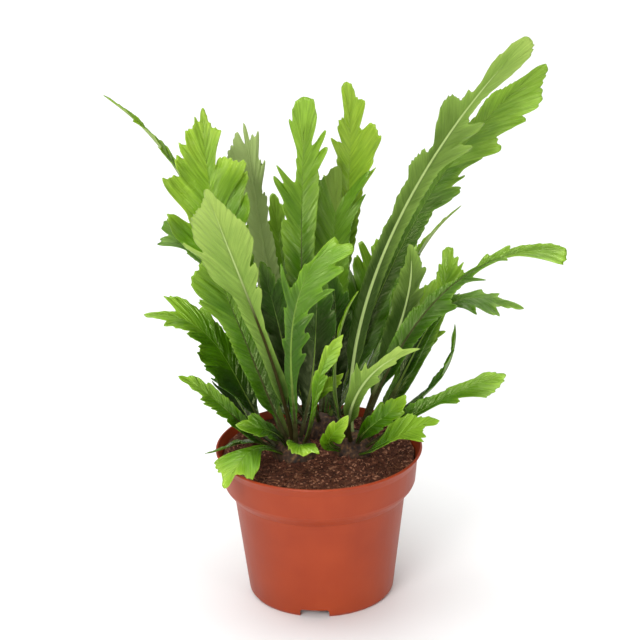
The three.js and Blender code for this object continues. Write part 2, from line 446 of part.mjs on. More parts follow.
// The midrib's line, and the directions across and out of the blade along it
class Midrib {
  constructor(frond) {
    const crown = new THREE.Vector3(...CROWNS[frond.crown]);
    const [azimuth, rise, reach] = frond.launch;
    const start = direction(azimuth, rise);
    const root = crown.clone().addScaledVector(start, CROWN_RADIUS - ROOT_DEPTH);
    const launch = crown.clone().addScaledVector(start, reach);
    const bend = new THREE.Vector3(...frond.bend);
    this.curve = new THREE.CubicBezierCurve3(root, launch, bend, new THREE.Vector3(...frond.tip));
    this.length = this.curve.getLength();
    this.face = direction(...frond.face);
    this.twist = radians(frond.twist);
  }

  // Origin, forward, upward and across vectors at a distance along the midrib
  frame(distance) {
    const share = THREE.MathUtils.clamp(distance / this.length, 0, 1);
    const origin = this.curve.getPointAt(share);
    const forward = this.curve.getTangentAt(share);
    const up = this.face.clone().addScaledVector(forward, -this.face.dot(forward)).normalize();
    up.applyAxisAngle(forward, this.twist * share);
    const across = new THREE.Vector3().crossVectors(forward, up);
    return { origin, forward, up, across };
  }
}

// A crown: a blunt scaly dome, with a plain hole for each stipe that stands in it
function crownGeometry(name) {
  let crown = toSolid(crownBall(CROWN_RADIUS).translate(...CROWNS[name]));
  for (const frond of FRONDS.filter((each) => each.crown === name)) {
    const { origin, forward, up, across } = new Midrib({ ...USUAL, ...frond }).frame(0);
    const width = 2 * (STIPE_HALF_WIDTH + ROOT_PLAY);
    const hole = new THREE.BoxGeometry(width, STIPE_THICKNESS + 2 * ROOT_PLAY, STIPE_SOCKET);
    hole.translate(0, 0, STIPE_SOCKET / 2 - GAP);
    hole.applyMatrix4(new THREE.Matrix4().makeBasis(across.negate(), up, forward));
    hole.translate(origin.x, origin.y, origin.z);
    crown = crown.subtract(toSolid(hole));
  }
  return toGeometry(crown);
}

// Half the blade's width over its length, as a share of the widest place
function envelope(frond, share) {
  const widening = 0.2 + 0.8 * smooth(0, frond.swell, share);
  const narrowing = 1 - (1 - frond.crest) * smooth(0.6, 1, share);
  const [waist, depth] = frond.neck;
  const pinch = 1 - depth * Math.exp(-(((share - waist) / 0.09) ** 2));
  return widening * narrowing * pinch;
}

// How far the side veins lean forward from square to the midrib, up to straight on at the tip
function veinLean(frond, share) {
  const last = 90 - VEIN_LEAN - VEIN_LEAN_GAIN;
  return radians(VEIN_LEAN + VEIN_LEAN_GAIN * share + last * share ** frond.fan);
}

// The length of a side vein in a blade that isn't lobed
function veinLength(frond, share) {
  return envelope(frond, share) * frond.width / 2 / Math.cos(radians(VEIN_ANGLE));
}

// An edge for a frond that gives none: lobes of uneven width and length, cut towards the midrib
function grownEdge(frond, seed) {
  const edge = [[LOBED_FROM / 2, veinLength(frond, LOBED_FROM / 2)]];
  const spans = Array.from({ length: frond.lobes }, (_, lobe) => 0.65 + 0.7 * draw(seed, 3 * lobe));
  const total = spans.reduce((sum, span) => sum + span, 0);
  let start = LOBED_FROM;
  for (const [lobe, weight] of spans.entries()) {
    const span = (1 - LOBED_FROM) * weight / total;
    const length = veinLength(frond, start + span / 2) * (0.8 + 0.4 * draw(seed, 3 * lobe + 1));
    const depth = frond.cut * (0.75 + 0.4 * draw(seed, 3 * lobe + 2));
    edge.push([start + LOBE_RISES_BY * span, length]);
    if (lobe < frond.lobes - 1) {
      edge.push([start + LOBE_FALLS_FROM * span, length * LOBE_SHOULDER]);
      edge.push([start + span, length * (1 - depth)]);
    }
    start += span;
  }
  return edge;
}

// Where the midrib's stations lie: evenly, and at the foot of the side vein behind each lobe
function ribShares(edges, blade) {
  const feet = [];
  for (const edge of edges) {
    for (const [index, [share, length]] of edge.slice(0, -1).entries()) {
      if (edge[index + 1][1] > LOBE_STEPS_BY * length) {
        feet.push(share);
      }
    }
  }
  const steps = Math.max(4, Math.round(blade / RIB_SPACING));
  const even = Array.from({ length: steps + 1 }, (_, step) => step / steps);
  const apart = (share, clearance) => feet.every((foot) => Math.abs(foot - share) * blade > clearance);
  const kept = even.filter((share) => share % 1 === 0 || apart(share, RIB_CLEARANCE));
  const all = [...kept, ...feet].sort((first, second) => first - second);
  return all.filter((share, index) => index === 0 || (share - all[index - 1]) * blade > NARROWEST_STRIP);
}

// One frond as a closed thin solid. Its edges and its midrib are lines of stations, each with a point
// on both faces, and the strips between them follow the side veins.
function frondGeometry(frond, seed) {
  const midrib = new Midrib(frond);
  const stalk = frond.stalk * midrib.length;
  const point = frond.point ?? veinLength(frond, 1);
  const blade = midrib.length - stalk - point;
  const positions = [];
  const addStation = (start, distance, offset, side, thickness) => {
    const { origin, up, across } = midrib.frame(distance);
    const ripple = frond.wave * (offset / RIPPLE_SPREAD) ** 1.5
      * Math.sin(Math.PI * distance / RIPPLE_LENGTH + seed + side);
    const fold = radians(frond.fold);
    const middle = origin.addScaledVector(across, side * offset * Math.cos(fold));
    middle.addScaledVector(up, offset * Math.sin(fold) + ripple);
    for (const skin of [thickness / 2, -thickness / 2]) {
      positions.push(...middle.clone().addScaledVector(up, skin).toArray());
    }
    return { start, top: positions.length / 3 - 2, bottom: positions.length / 3 - 1 };
  };

  const edges = [frond.right ?? grownEdge(frond, seed + 0.25), frond.left ?? grownEdge(frond, seed - 0.25)];
  const rib = [];
  const addRib = (distance) => {
    const thickness = THREE.MathUtils.lerp(STIPE_THICKNESS, RIB_THICKNESS, distance / midrib.length);
    rib.push(addStation(distance, distance, 0, 1, thickness));
  };
  addRib(0);
  addRib(stalk / 2);
  for (const share of ribShares(edges, blade)) {
    addRib(stalk + blade * share);
  }
  const tip = addStation(stalk + blade, midrib.length, 0, 1, BLADE_THICKNESS);

  const faces = [];
  const quad = (a, b, c, d) => faces.push(a, b, c, a, c, d);
  for (const side of [1, -1]) {
    const edge = [0, stalk / 2, stalk].map((distance) => (
      addStation(distance, distance, STIPE_HALF_WIDTH, side, BLADE_THICKNESS)
    ));
    for (const [share, length] of side > 0 ? edges[0] : edges[1]) {
      const lean = veinLean(frond, share);
      const start = stalk + share * blade;
      const offset = Math.max(length * Math.cos(lean), STIPE_HALF_WIDTH);
      edge.push(addStation(start, start + length * Math.sin(lean), offset, side, BLADE_THICKNESS));
    }
    edge.push(tip);
    const face = (a, b, c) => {
      faces.push(...(side > 0 ? [a.top, b.top, c.top] : [a.top, c.top, b.top]));
      faces.push(...(side > 0 ? [a.bottom, c.bottom, b.bottom] : [a.bottom, b.bottom, c.bottom]));
    };
    let inner = 0;
    let outer = 0;
    while (inner < rib.length - 1 || outer < edge.length - 1) {
      const more = outer < edge.length - 1;
      if (more && (inner === rib.length - 1 || edge[outer + 1].start < rib[inner + 1].start)) {
        const near = edge[outer];
        const far = edge[outer + 1];
        face(rib[inner], near, far);
        if (side > 0) {
          quad(near.top, near.bottom, far.bottom, far.top);
        } else {
          quad(near.bottom, near.top, far.top, far.bottom);
        }
        outer += 1;
      } else {
        face(rib[inner], edge[outer], rib[inner + 1]);
        inner += 1;
      }
    }
    const foot = edge[0];
    if (side > 0) {
      quad(foot.top, rib[0].top, rib[0].bottom, foot.bottom);
    } else {
      quad(rib[0].top, foot.top, foot.bottom, rib[0].bottom);
    }
  }

  const geometry = new THREE.BufferGeometry();
  geometry.setAttribute('position', new THREE.Float32BufferAttribute(positions, 3));
  geometry.setIndex(faces);
  geometry.computeVertexNormals();
  return geometry;
}

// The fronds' colours, from the pale new ones and the greyish undersides to the shaded old ones
const TONES = { young: 0x93bd45, green: 0x5f9436, deep: 0x2f5a1d, sage: 0x86a56a };

const fern = new THREE.Group();
addMesh(fern, 'pot', potGeometry(), 0xb65a3c, 0.45);
addMesh(fern, 'soil', soilGeometry(), 0x3a2318, 0.95);
for (const name of Object.keys(CROWNS)) {
  addMesh(fern, `crown_${name}`, crownGeometry(name), 0x4a3524, 0.9);
}
FRONDS.forEach((entry, index) => {
  const frond = { ...USUAL, ...entry };
  addMesh(fern, frond.name, frondGeometry(frond, index + 1), TONES[frond.tone], 0.5);
});

export default fern;
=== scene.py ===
import bisect
import math
import random

import bmesh
import bpy
from mathutils import Matrix, Quaternion, Vector, noise


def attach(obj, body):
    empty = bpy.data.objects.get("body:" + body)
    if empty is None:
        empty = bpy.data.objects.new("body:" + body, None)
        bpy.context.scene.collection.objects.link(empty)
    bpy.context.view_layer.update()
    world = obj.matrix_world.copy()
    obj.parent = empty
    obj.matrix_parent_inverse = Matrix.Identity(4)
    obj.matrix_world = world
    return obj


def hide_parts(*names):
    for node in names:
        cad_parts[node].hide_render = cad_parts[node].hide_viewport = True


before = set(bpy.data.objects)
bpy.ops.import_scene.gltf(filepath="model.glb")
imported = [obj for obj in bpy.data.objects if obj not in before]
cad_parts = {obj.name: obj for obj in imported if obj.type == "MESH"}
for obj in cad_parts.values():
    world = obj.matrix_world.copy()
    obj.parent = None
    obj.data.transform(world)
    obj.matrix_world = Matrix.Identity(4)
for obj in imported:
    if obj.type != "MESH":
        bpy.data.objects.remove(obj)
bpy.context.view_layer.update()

# Camera. The view is from in front and above with a long lens, and turned very slightly clockwise.
# The picture is square, and the pot's foot and the tallest frond's tip both lie inside it.
CAMERA_TARGET = Vector((0.002, 0, 0.1688))
CAMERA_DISTANCE = 1.67
CAMERA_PITCH = math.radians(22.35)
CAMERA_ROLL = math.radians(-1.1)
CAMERA_LENS = 164.8

camera_data = bpy.data.cameras.new("camera")
camera_data.lens = CAMERA_LENS
camera_data.clip_start = 0.05
camera = bpy.data.objects.new("camera", camera_data)
camera_sight = Vector((0, math.cos(CAMERA_PITCH), -math.sin(CAMERA_PITCH)))
camera.location = CAMERA_TARGET - CAMERA_DISTANCE * camera_sight
camera.rotation_mode = "QUATERNION"
camera_turn = Quaternion((0, 0, 1), CAMERA_ROLL)
camera.rotation_quaternion = camera_sight.to_track_quat("-Z", "Y") @ camera_turn
bpy.context.scene.collection.objects.link(camera)
bpy.context.scene.camera = camera

# Pot. It is one moulding of terracotta coloured plastic with a wall of little over a millimetre: a
# tapered body, a step out to a straight band, and a small rolled lip. It stands on a foot ring with
# notches, and its raised floor has drain holes.
MM = 0.001
POT_RIM_RADIUS = 60
POT_HEIGHT = 90
POT_FOOT_RADIUS = 41
POT_BAND_RADIUS = 55.8
POT_BAND_LEVEL = 70
POT_WALL = 1.2
POT_SPIN_STEPS = 160
FILLET_STEPS = 4
FLOOR_LEVEL = 5
FLOOR_THICKNESS = 1.6
CENTRE_FOOT_RADIUS = 12
NOTCH_WIDTH = 17
NOTCH_HEIGHT = 4.8
NOTCH_ROUNDING = 1.6
NOTCH_CUT_DEPTH = 16
NOTCH_COUNT = 3
FIRST_NOTCH_HEADING = -96
DRAIN_RADIUS = 4
DRAIN_CUT_DEPTH = 8
DRAIN_CIRCLE = 30
DRAIN_COUNT = 6
SHARP_FROM = math.radians(40)

# The pot's outline from the foot to the lip, down its inside and under its floor. Each corner is a
# radius from the axis and a height, with the fillet that rounds it.
POT_OUTSIDE = [
    ((POT_FOOT_RADIUS, 0), 0.5),
    ((POT_FOOT_RADIUS + 1.3, 1.8), 2),
    ((49.5, 59.5), 2),
    ((50.1, 62.7), 0.4),
    ((51.3, 63.3), 0.4),
    ((54.9, 68), 2.5),
    ((POT_BAND_RADIUS, POT_BAND_LEVEL), 1.5),
    ((57.2, 84), 3),
    ((59, 87.6), 2),
    ((POT_RIM_RADIUS, 89.2), 0.4),
    ((POT_RIM_RADIUS - 0.5, POT_HEIGHT), 0.4),
    ((58.6, POT_HEIGHT), 0.4),
    ((58, 88.2), 1.2),
]
POT_INSIDE = [
    ((56, 84), 3),
    ((POT_BAND_RADIUS - POT_WALL, POT_BAND_LEVEL + 0.6), 1.2),
    ((53.8, 68.9), 1.2),
    ((49.8, 64), 2),
    ((48.3, 60), 3),
    ((POT_FOOT_RADIUS - 0.1, FLOOR_LEVEL + FLOOR_THICKNESS), 1.5),
    ((CENTRE_FOOT_RADIUS + 2.4, FLOOR_LEVEL + FLOOR_THICKNESS), 1),
    ((CENTRE_FOOT_RADIUS - 0.6, FLOOR_THICKNESS), 0.6),
]
POT_UNDERSIDE = [
    ((CENTRE_FOOT_RADIUS, 0), 0.5),
    ((CENTRE_FOOT_RADIUS + 3, FLOOR_LEVEL), 1),
    ((POT_FOOT_RADIUS - 3.2, FLOOR_LEVEL), 0.5),
    ((POT_FOOT_RADIUS - 2.2, 0), 0.4),
]


def linear(red, green, blue):
    """A colour seen on a screen, 0 to 255 a channel, as the linear one that shaders take."""
    channels = [value / 255 for value in (red, green, blue)]
    return (*[value ** 2.2 for value in channels], 1)


def rounded(corners):
    """Points along a line whose inner corners are filleted, each to its own radius."""
    points = [Vector(corners[0][0])]
    threes = zip(corners, corners[1:], corners[2:])
    for (earlier, _), (corner, radius), (later, _) in threes:
        here = Vector(corner)
        before = Vector(earlier) - here
        after = Vector(later) - here
        turn = before.angle(after)
        setback = radius / max(math.tan(turn / 2), 0.05)
        setback = min(setback, 0.45 * before.length, 0.45 * after.length)
        first = here + before.normalized() * setback
        last = here + after.normalized() * setback
        for step in range(FILLET_STEPS + 1):
            share = step / FILLET_STEPS
            points.append(first.lerp(here, share).lerp(here.lerp(last, share), share))
    return [*points, Vector(corners[-1][0])]


def spun(profile, steps):
    """A bmesh turned about Z from (radius, height) points in millimetres."""
    turned = bmesh.new()
    line = [turned.verts.new((radius * MM, 0, height * MM)) for radius, height in profile]
    edges = [turned.edges.new(pair) for pair in zip(line, line[1:])]
    bmesh.ops.spin(turned, geom=line + edges, cent=(0, 0, 0), axis=(0, 0, 1), angle=math.tau,
                   steps=steps, use_merge=True)
    bmesh.ops.remove_doubles(turned, verts=turned.verts, dist=0.01 * MM)
    bmesh.ops.recalc_face_normals(turned, faces=turned.faces)
    return turned


def finished(name, shape, materials, smooth=True):
    """The object of a bmesh, at the origin, which rides on the part."""
    mesh = bpy.data.meshes.new(name)
    shape.to_mesh(mesh)
    shape.free()
    for material in materials:
        mesh.materials.append(material)
    mesh.polygons.foreach_set("use_smooth", [smooth] * len(mesh.polygons))
    piece = bpy.data.objects.new(name, mesh)
    bpy.context.scene.collection.objects.link(piece)
    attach(piece, "root")
    return piece


def cut_away(piece, shape):
    """Takes a bmesh's shape out of a piece for good."""
    mesh = bpy.data.meshes.new("cutter")
    shape.to_mesh(mesh)
    shape.free()
    cutter = bpy.data.objects.new("cutter", mesh)
    bpy.context.scene.collection.objects.link(cutter)
    modifier = piece.modifiers.new("cut", "BOOLEAN")
    modifier.operation = "DIFFERENCE"
    modifier.solver = "EXACT"
    modifier.object = cutter
    bpy.context.view_layer.update()
    depsgraph = bpy.context.evaluated_depsgraph_get()
    cut = bpy.data.meshes.new_from_object(piece.evaluated_get(depsgraph))
    piece.modifiers.clear()
    piece.data = cut
    cut.name = piece.name
    bpy.data.objects.remove(cutter)
    bpy.data.meshes.remove(mesh)


def start_material(name):
    """An empty material with its tree, its shader and its output."""
    material = bpy.data.materials.new(name)
    material.use_nodes = True
    tree = material.node_tree
    tree.nodes.clear()
    output = tree.nodes.new("ShaderNodeOutputMaterial")
    shader = tree.nodes.new("ShaderNodeBsdfPrincipled")
    tree.links.new(shader.outputs["BSDF"], output.inputs["Surface"])
    return material, tree, shader


def add_node(tree, kind, inputs=None, **settings):
    """A shader node of a kind, with its settings, and its sockets set or linked."""
    made = tree.nodes.new(f"ShaderNode{kind}")
    for key, value in settings.items():
        setattr(made, key, value)
    for key, value in (inputs or {}).items():
        if isinstance(value, bpy.types.NodeSocket):
            tree.links.new(value, made.inputs[key])
        else:
            made.inputs[key].default_value = value
    return made


def ramp(tree, fac, *stops):
    """A colour ramp through (place, colour) stops, as its colour socket."""
    made = add_node(tree, "ValToRGB", {"Fac": fac})
    elements = made.color_ramp.elements
    while len(elements) < len(stops):
        elements.new(0.5)
    for element, (place, colour) in zip(elements, stops):
        element.position = place
        element.color = colour
    return made.outputs["Color"]


def mixed(tree, share, first, second, blend_type="MIX"):
    """The colour socket of a mix of two colours."""
    made = add_node(tree, "Mix", data_type="RGBA", blend_type=blend_type)
    for key, value in (("Factor", share), ("A", first), ("B", second)):
        kind = "VALUE" if key == "Factor" else "RGBA"
        socket = next(each for each in made.inputs if each.name == key and each.type == kind)
        if isinstance(value, bpy.types.NodeSocket):
            tree.links.new(value, socket)
        else:
            socket.default_value = value
    return next(each for each in made.outputs if each.type == "RGBA")


def sums(tree, operation, first, second, third=None):
    """The value socket of a sum done on two or three values."""
    made = add_node(tree, "Math", {0: first, 1: second}, operation=operation)
    if third is not None:
        made.inputs[2].default_value = third
    return made.outputs[0]


def noise_at(tree, place, scale, detail, roughness=0.5):
    """The value socket of a cloudy noise."""
    inputs = {"Vector": place, "Scale": scale, "Detail": detail, "Roughness": roughness}
    return add_node(tree, "TexNoise", inputs).outputs["Fac"]


def stretched(tree, place, scale):
    """A place with its axes scaled apart, which draws a pattern out along one of them."""
    return add_node(tree, "Mapping", {"Vector": place, "Scale": scale}).outputs["Vector"]


def ranged(tree, value, before=(0, 1), after=(0, 1)):
    """A value carried from one range to another and held inside it."""
    inputs = {"Value": value, "From Min": before[0], "From Max": before[1],
              "To Min": after[0], "To Max": after[1]}
    return add_node(tree, "MapRange", inputs).outputs["Result"]


def bumped(tree, height, strength, distance, **below):
    """The normal socket of a relief, laid over another one's Normal where that is given."""
    inputs = {"Height": height, "Strength": strength, "Distance": distance, **below}
    return add_node(tree, "Bump", inputs).outputs["Normal"]


def pot_plastic():
    """Satin terracotta plastic, a little uneven, with faint scuffs and dust near the foot."""
    material, tree, shader = start_material("pot_plastic")
    place = add_node(tree, "TexCoord").outputs["Object"]
    cloud = noise_at(tree, place, 38, 3)
    streak = noise_at(tree, stretched(tree, place, (260, 260, 18)), 1, 4)
    grain = noise_at(tree, place, 1900, 2)
    colour = ramp(tree, cloud, (0.3, linear(139, 50, 19)), (0.7, linear(150, 57, 23)))
    colour = mixed(tree, sums(tree, "MULTIPLY", streak, 0.22), colour, linear(166, 73, 39))
    height = add_node(tree, "SeparateXYZ", {"Vector": place}).outputs["Z"]
    low = ranged(tree, height, (0.03, 0))
    dust = sums(tree, "MULTIPLY", low, sums(tree, "MULTIPLY", cloud, 0.35))
    colour = mixed(tree, dust, colour, linear(168, 74, 40))
    tree.links.new(colour, shader.inputs["Base Color"])
    rough = ranged(tree, streak, after=(0.38, 0.54))
    tree.links.new(rough, shader.inputs["Roughness"])
    bumps = sums(tree, "ADD", grain, sums(tree, "MULTIPLY", cloud, 3.0))
    tree.links.new(bumped(tree, bumps, 0.12, 0.0004), shader.inputs["Normal"])
    shader.inputs["Specular IOR Level"].default_value = 0.32
    return material


def make_pot():
    """The pot's shell, with the foot's notches and the floor's drain holes cut out of it."""
    wall = rounded(POT_OUTSIDE + POT_INSIDE + [((0, FLOOR_THICKNESS), 0)])
    under = rounded([((0, 0), 0)] + POT_UNDERSIDE + [POT_OUTSIDE[0]])
    shell = finished("nursery_pot", spun(under[:-1] + wall, POT_SPIN_STEPS), [pot_plastic()])

    cutter = bmesh.new()
    for index in range(NOTCH_COUNT):
        heading = math.radians(FIRST_NOTCH_HEADING + index * 360 / NOTCH_COUNT)
        block = bmesh.ops.create_cube(cutter, size=1)["verts"]
        size = Vector((NOTCH_CUT_DEPTH, NOTCH_WIDTH, 2 * NOTCH_HEIGHT)) * MM
        bmesh.ops.scale(cutter, verts=block, vec=size)
        upper = [edge for vert in block if vert.co.z > 0 for edge in vert.link_edges
                 if abs(edge.verts[0].co.z - edge.verts[1].co.z) < MM
                 and abs(edge.verts[0].co.y - edge.verts[1].co.y) < MM]
        rounding = bmesh.ops.bevel(cutter, geom=list(set(upper)), offset=NOTCH_ROUNDING * MM,
                                   segments=4, profile=0.5, affect="EDGES", material=-1)
        block = {vert for vert in block if vert.is_valid} | set(rounding["verts"])
        turn = Matrix.Rotation(heading, 4, "Z") @ Matrix.Translation((POT_FOOT_RADIUS * MM, 0, 0))
        bmesh.ops.transform(cutter, verts=list(block), matrix=turn)
    for index in range(DRAIN_COUNT):
        heading = math.radians(FIRST_NOTCH_HEADING + index * 360 / DRAIN_COUNT)
        centre = Matrix.Rotation(heading, 4, "Z") @ Vector((DRAIN_CIRCLE, 0, FLOOR_LEVEL)) * MM
        bmesh.ops.create_cone(cutter, cap_ends=True, segments=24, radius1=DRAIN_RADIUS * MM,
                              radius2=DRAIN_RADIUS * MM, depth=DRAIN_CUT_DEPTH * MM,
                              matrix=Matrix.Translation(centre))
    cut_away(shell, cutter)
    shell.data.set_sharp_from_angle(angle=SHARP_FROM)
    return shell


pot = make_pot()
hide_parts("pot")

# Soil. Loose damp peat fills the pot to just under its lip. Its surface is uneven and crumbly, with
# darker pits that are partly painted shade in the hollows of the peat's fine relief, and reddish
# crumbs of bark and short fibres of coir lying on it.
SOIL_LEVEL = 85.5
SOIL_SPIN_STEPS = 230
SOIL_RINGS = 78
SOIL_RADIUS = 55.3
SOIL_GAP = 0.3
RIM_DIP_FROM = 48
RIM_DIP = 0.09
CRUMB_COUNT = 1500
CRUMB_SPREAD = 54.5
FIBRE_COUNT = 110
FIBRE_SPREAD = 52
SOIL_SEED = 7


def heap_height(x, y):
    """The height of the peat's surface in millimetres, without its crumbs."""
    ripple = math.sin(x * 0.21 + 1.3) * math.cos(y * 0.17 - 0.4)
    ripple += 0.6 * math.sin(x * 0.37 - y * 0.29)
    heap = math.exp(-((x + 34) ** 2 + (y - 22) ** 2) / 500)
    return SOIL_LEVEL + 0.6 * ripple + 1.6 * heap


def crumbly_height(x, y):
    """The height of the peat's surface with its crumbs and pits."""
    place = Vector((x, y, 0))
    lumps = noise.fractal(place * 0.16, 1.0, 2.1, 3)
    crumbs = noise.hetero_terrain(place * 0.55, 0.9, 2.2, 4, 0.7)
    rim = max(0.0, math.hypot(x, y) - RIM_DIP_FROM) * RIM_DIP
    return heap_height(x, y) + 0.55 * lumps + 0.62 * (crumbs - 0.7) - rim


def peat():
    """Dark peat: nearly black pits, partly painted shade in the hollows of its relief, brown crumbs
    and reddish specks.
    """
    material, tree, shader = start_material("peat")
    place = add_node(tree, "TexCoord").outputs["Object"]
    cloud = noise_at(tree, place, 210, 6, roughness=0.7)
    cells = add_node(tree, "TexVoronoi", {"Vector": place, "Scale": 620}).outputs
    specks = add_node(tree, "TexVoronoi", {"Vector": place, "Scale": 900}).outputs
    # The colour follows the same cloud as the relief, so its nearly black tone lies in the relief's
    # hollows: painted shade there, over the peat's own dark tone.
    colour = ramp(tree, cloud, (0.32, linear(34, 18, 12)), (0.52, linear(86, 50, 35)),
                  (0.72, linear(142, 92, 68)))
    tone = add_node(tree, "SeparateColor", {"Color": cells["Color"]}).outputs["Red"]
    colour = mixed(tree, sums(tree, "MULTIPLY", tone, 0.75), colour, linear(74, 42, 30))
    chip = add_node(tree, "SeparateColor", {"Color": specks["Color"]}).outputs["Green"]
    colour = mixed(tree, ranged(tree, chip, (0.86, 0.94)), colour, linear(156, 108, 84))
    tree.links.new(colour, shader.inputs["Base Color"])
    bumps = sums(tree, "ADD", cloud, sums(tree, "MULTIPLY", cells["Distance"], 0.8))
    tree.links.new(bumped(tree, bumps, 0.9, 0.0012), shader.inputs["Normal"])
    shader.inputs["Roughness"].default_value = 0.92
    shader.inputs["Specular IOR Level"].default_value = 0.25
    return material


def make_soil():
    """The bed of peat, filling the pot's inside."""
    middle = FLOOR_THICKNESS + SOIL_GAP
    floor = FLOOR_LEVEL + FLOOR_THICKNESS + SOIL_GAP
    side = [(0, middle), (CENTRE_FOOT_RADIUS - 1, middle), (CENTRE_FOOT_RADIUS + 2, floor),
            (POT_FOOT_RADIUS - 0.4, floor), (48, 60), (49.5, 64), (53.5, 68.9),
            (POT_BAND_RADIUS - POT_WALL - SOIL_GAP, POT_BAND_LEVEL + 0.6),
            (SOIL_RADIUS, SOIL_LEVEL - 2.2)]
    top = [(SOIL_RADIUS * (1 - ring / SOIL_RINGS), SOIL_LEVEL) for ring in range(SOIL_RINGS + 1)]
    shape = spun(side + top, SOIL_SPIN_STEPS)
    for vert in shape.verts:
        if vert.co.z > (SOIL_LEVEL - 1) * MM:
            vert.co.z = crumbly_height(vert.co.x / MM, vert.co.y / MM) * MM
    bmesh.ops.recalc_face_normals(shape, faces=shape.faces)
    return finished("peat_bed", shape, [peat_material])


def make_crumbs():
    """Loose crumbs of peat and bark that lie half sunk in the surface."""
    draws = random.Random(SOIL_SEED)
    shape = bmesh.new()
    for _ in range(CRUMB_COUNT):
        radius = CRUMB_SPREAD * math.sqrt(draws.random())
        heading = draws.uniform(0, math.tau)
        x, y = radius * math.cos(heading), radius * math.sin(heading)
        size = draws.uniform(0.3, 0.75) if draws.random() < 0.85 else draws.uniform(0.8, 1.7)
        crumb = bmesh.ops.create_icosphere(shape, subdivisions=1, radius=size * MM)["verts"]
        for vert in crumb:
            vert.co *= draws.uniform(0.65, 1.15)
        stretch = Vector((draws.uniform(0.8, 1.3), 1, draws.uniform(0.7, 1)))
        bmesh.ops.scale(shape, verts=crumb, vec=stretch)
        turn = Quaternion((draws.uniform(-1, 1), draws.uniform(-1, 1), draws.uniform(-1, 1)),
                          draws.uniform(0, math.tau)).normalized()
        place = Matrix.Translation(Vector((x, y, crumbly_height(x, y) + 0.2 * size)) * MM)
        bmesh.ops.transform(shape, verts=crumb, matrix=place @ turn.to_matrix().to_4x4())
    return finished("peat_crumbs", shape, [peat_material], smooth=False)


def coir():
    """Reddish brown fibre."""
    material, tree, shader = start_material("coir")
    place = add_node(tree, "TexCoord").outputs["Object"]
    cloud = noise_at(tree, place, 90, 2)
    colour = ramp(tree, cloud, (0.35, linear(86, 48, 30)), (0.65, linear(150, 98, 66)))
    tree.links.new(colour, shader.inputs["Base Color"])
    shader.inputs["Roughness"].default_value = 0.8
    return material


def make_fibres():
    """Short curved fibres that lie on the peat."""
    draws = random.Random(SOIL_SEED + 1)
    shape = bmesh.new()
    for _ in range(FIBRE_COUNT):
        radius = FIBRE_SPREAD * math.sqrt(draws.random())
        heading = draws.uniform(0, math.tau)
        x, y = radius * math.cos(heading), radius * math.sin(heading)
        length = draws.uniform(3, 8)
        bow = draws.uniform(-0.12, 0.12)
        way = draws.uniform(0, math.tau)
        fibre = bmesh.ops.create_grid(shape, x_segments=8, y_segments=4, size=0.5)["verts"]
        thickness = draws.uniform(0.1, 0.2)
        for vert in fibre:
            along = vert.co.x * length
            around = (vert.co.y + 0.5) * math.tau
            aside = bow * along * along + thickness * math.cos(around)
            px = x + along * math.cos(way) - aside * math.sin(way)
            py = y + along * math.sin(way) + aside * math.cos(way)
            height = heap_height(px, py) + 0.75 + thickness * math.sin(around)
            height -= 0.02 * along * along
            vert.co = Vector((px, py, height)) * MM
        bmesh.ops.remove_doubles(shape, verts=fibre, dist=0.001 * MM)
    bmesh.ops.holes_fill(shape, edges=shape.edges, sides=4)
    bmesh.ops.recalc_face_normals(shape, faces=shape.faces)
    return finished("coir_fibres", shape, [coir()])


peat_material = peat()
soil = make_soil()
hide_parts("soil")
for litter in (make_crumbs(), make_fibres()):
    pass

# Crowns. Each plantlet's short stem is a blunt knob half sunk in the peat, covered in dry papery
# brown scales that point up and outward, and the stipes rise from between them.
CROWN_RADIUS = 14
CROWNS = {"left": (-14, -2, 83), "right": (21, 4, 83), "back": (2, 30, 83)}
SCALE_COUNT = 260
CROWN_SEED = 21


def papery_brown():
    """Thin dry scales, mottled from nearly black through brown to pale brown."""
    material, tree, shader = start_material("crown_scales")
    place = add_node(tree, "TexCoord").outputs["Object"]
    cloud = noise_at(tree, place, 420, 4)
    colour = ramp(tree, cloud, (0.3, linear(24, 15, 9)), (0.55, linear(66, 44, 26)),
                  (0.75, linear(116, 84, 50)))
    tree.links.new(colour, shader.inputs["Base Color"])
    tree.links.new(bumped(tree, cloud, 0.6, 0.0006), shader.inputs["Normal"])
    shader.inputs["Roughness"].default_value = 0.8
    return material


def make_crown(name, seed):
    """One crown: a rough knob with its scales."""
    centre = Vector(CROWNS[name])
    draws = random.Random(seed)
    shape = bmesh.new()
    knob = bmesh.ops.create_uvsphere(shape, u_segments=40, v_segments=20, radius=CROWN_RADIUS * MM)
    for vert in knob["verts"]:
        bulge = 1 + 0.05 * noise.fractal(vert.co / MM * 0.25 + centre, 1.0, 2.0, 3)
        vert.co = (vert.co / MM * min(bulge, 1) * 0.97 + centre) * MM
    for _ in range(SCALE_COUNT):
        heading = draws.uniform(0, math.tau)
        lift = math.asin(draws.uniform(0.12, 0.95))
        level = math.cos(lift)
        outward = Vector((math.cos(heading) * level, math.sin(heading) * level, math.sin(lift)))
        aside = Vector((-math.sin(heading), math.cos(heading), 0))
        upward = outward.cross(aside)
        length = draws.uniform(3, 5.5)
        width = draws.uniform(1.1, 1.9)
        flare = draws.uniform(0.1, 0.3)
        scale = bmesh.ops.create_grid(shape, x_segments=2, y_segments=5, size=0.5)["verts"]
        for vert in scale:
            along = vert.co.y + 0.5
            across = vert.co.x * width * math.sin(math.pi * (0.15 + 0.84 * along))
            stand_off = CROWN_RADIUS * 0.95 + length * flare * along ** 2 - 0.3 * abs(vert.co.x)
            root = centre + outward * stand_off
            vert.co = (root + aside * across + upward * length * (along - 0.5)) * MM
    return finished(f"crown_{name}_knob", shape, [papery_material])


papery_material = papery_brown()
for crown_index, crown_name in enumerate(CROWNS):
    crown = make_crown(crown_name, CROWN_SEED + crown_index)
    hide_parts(f"crown_{crown_name}")

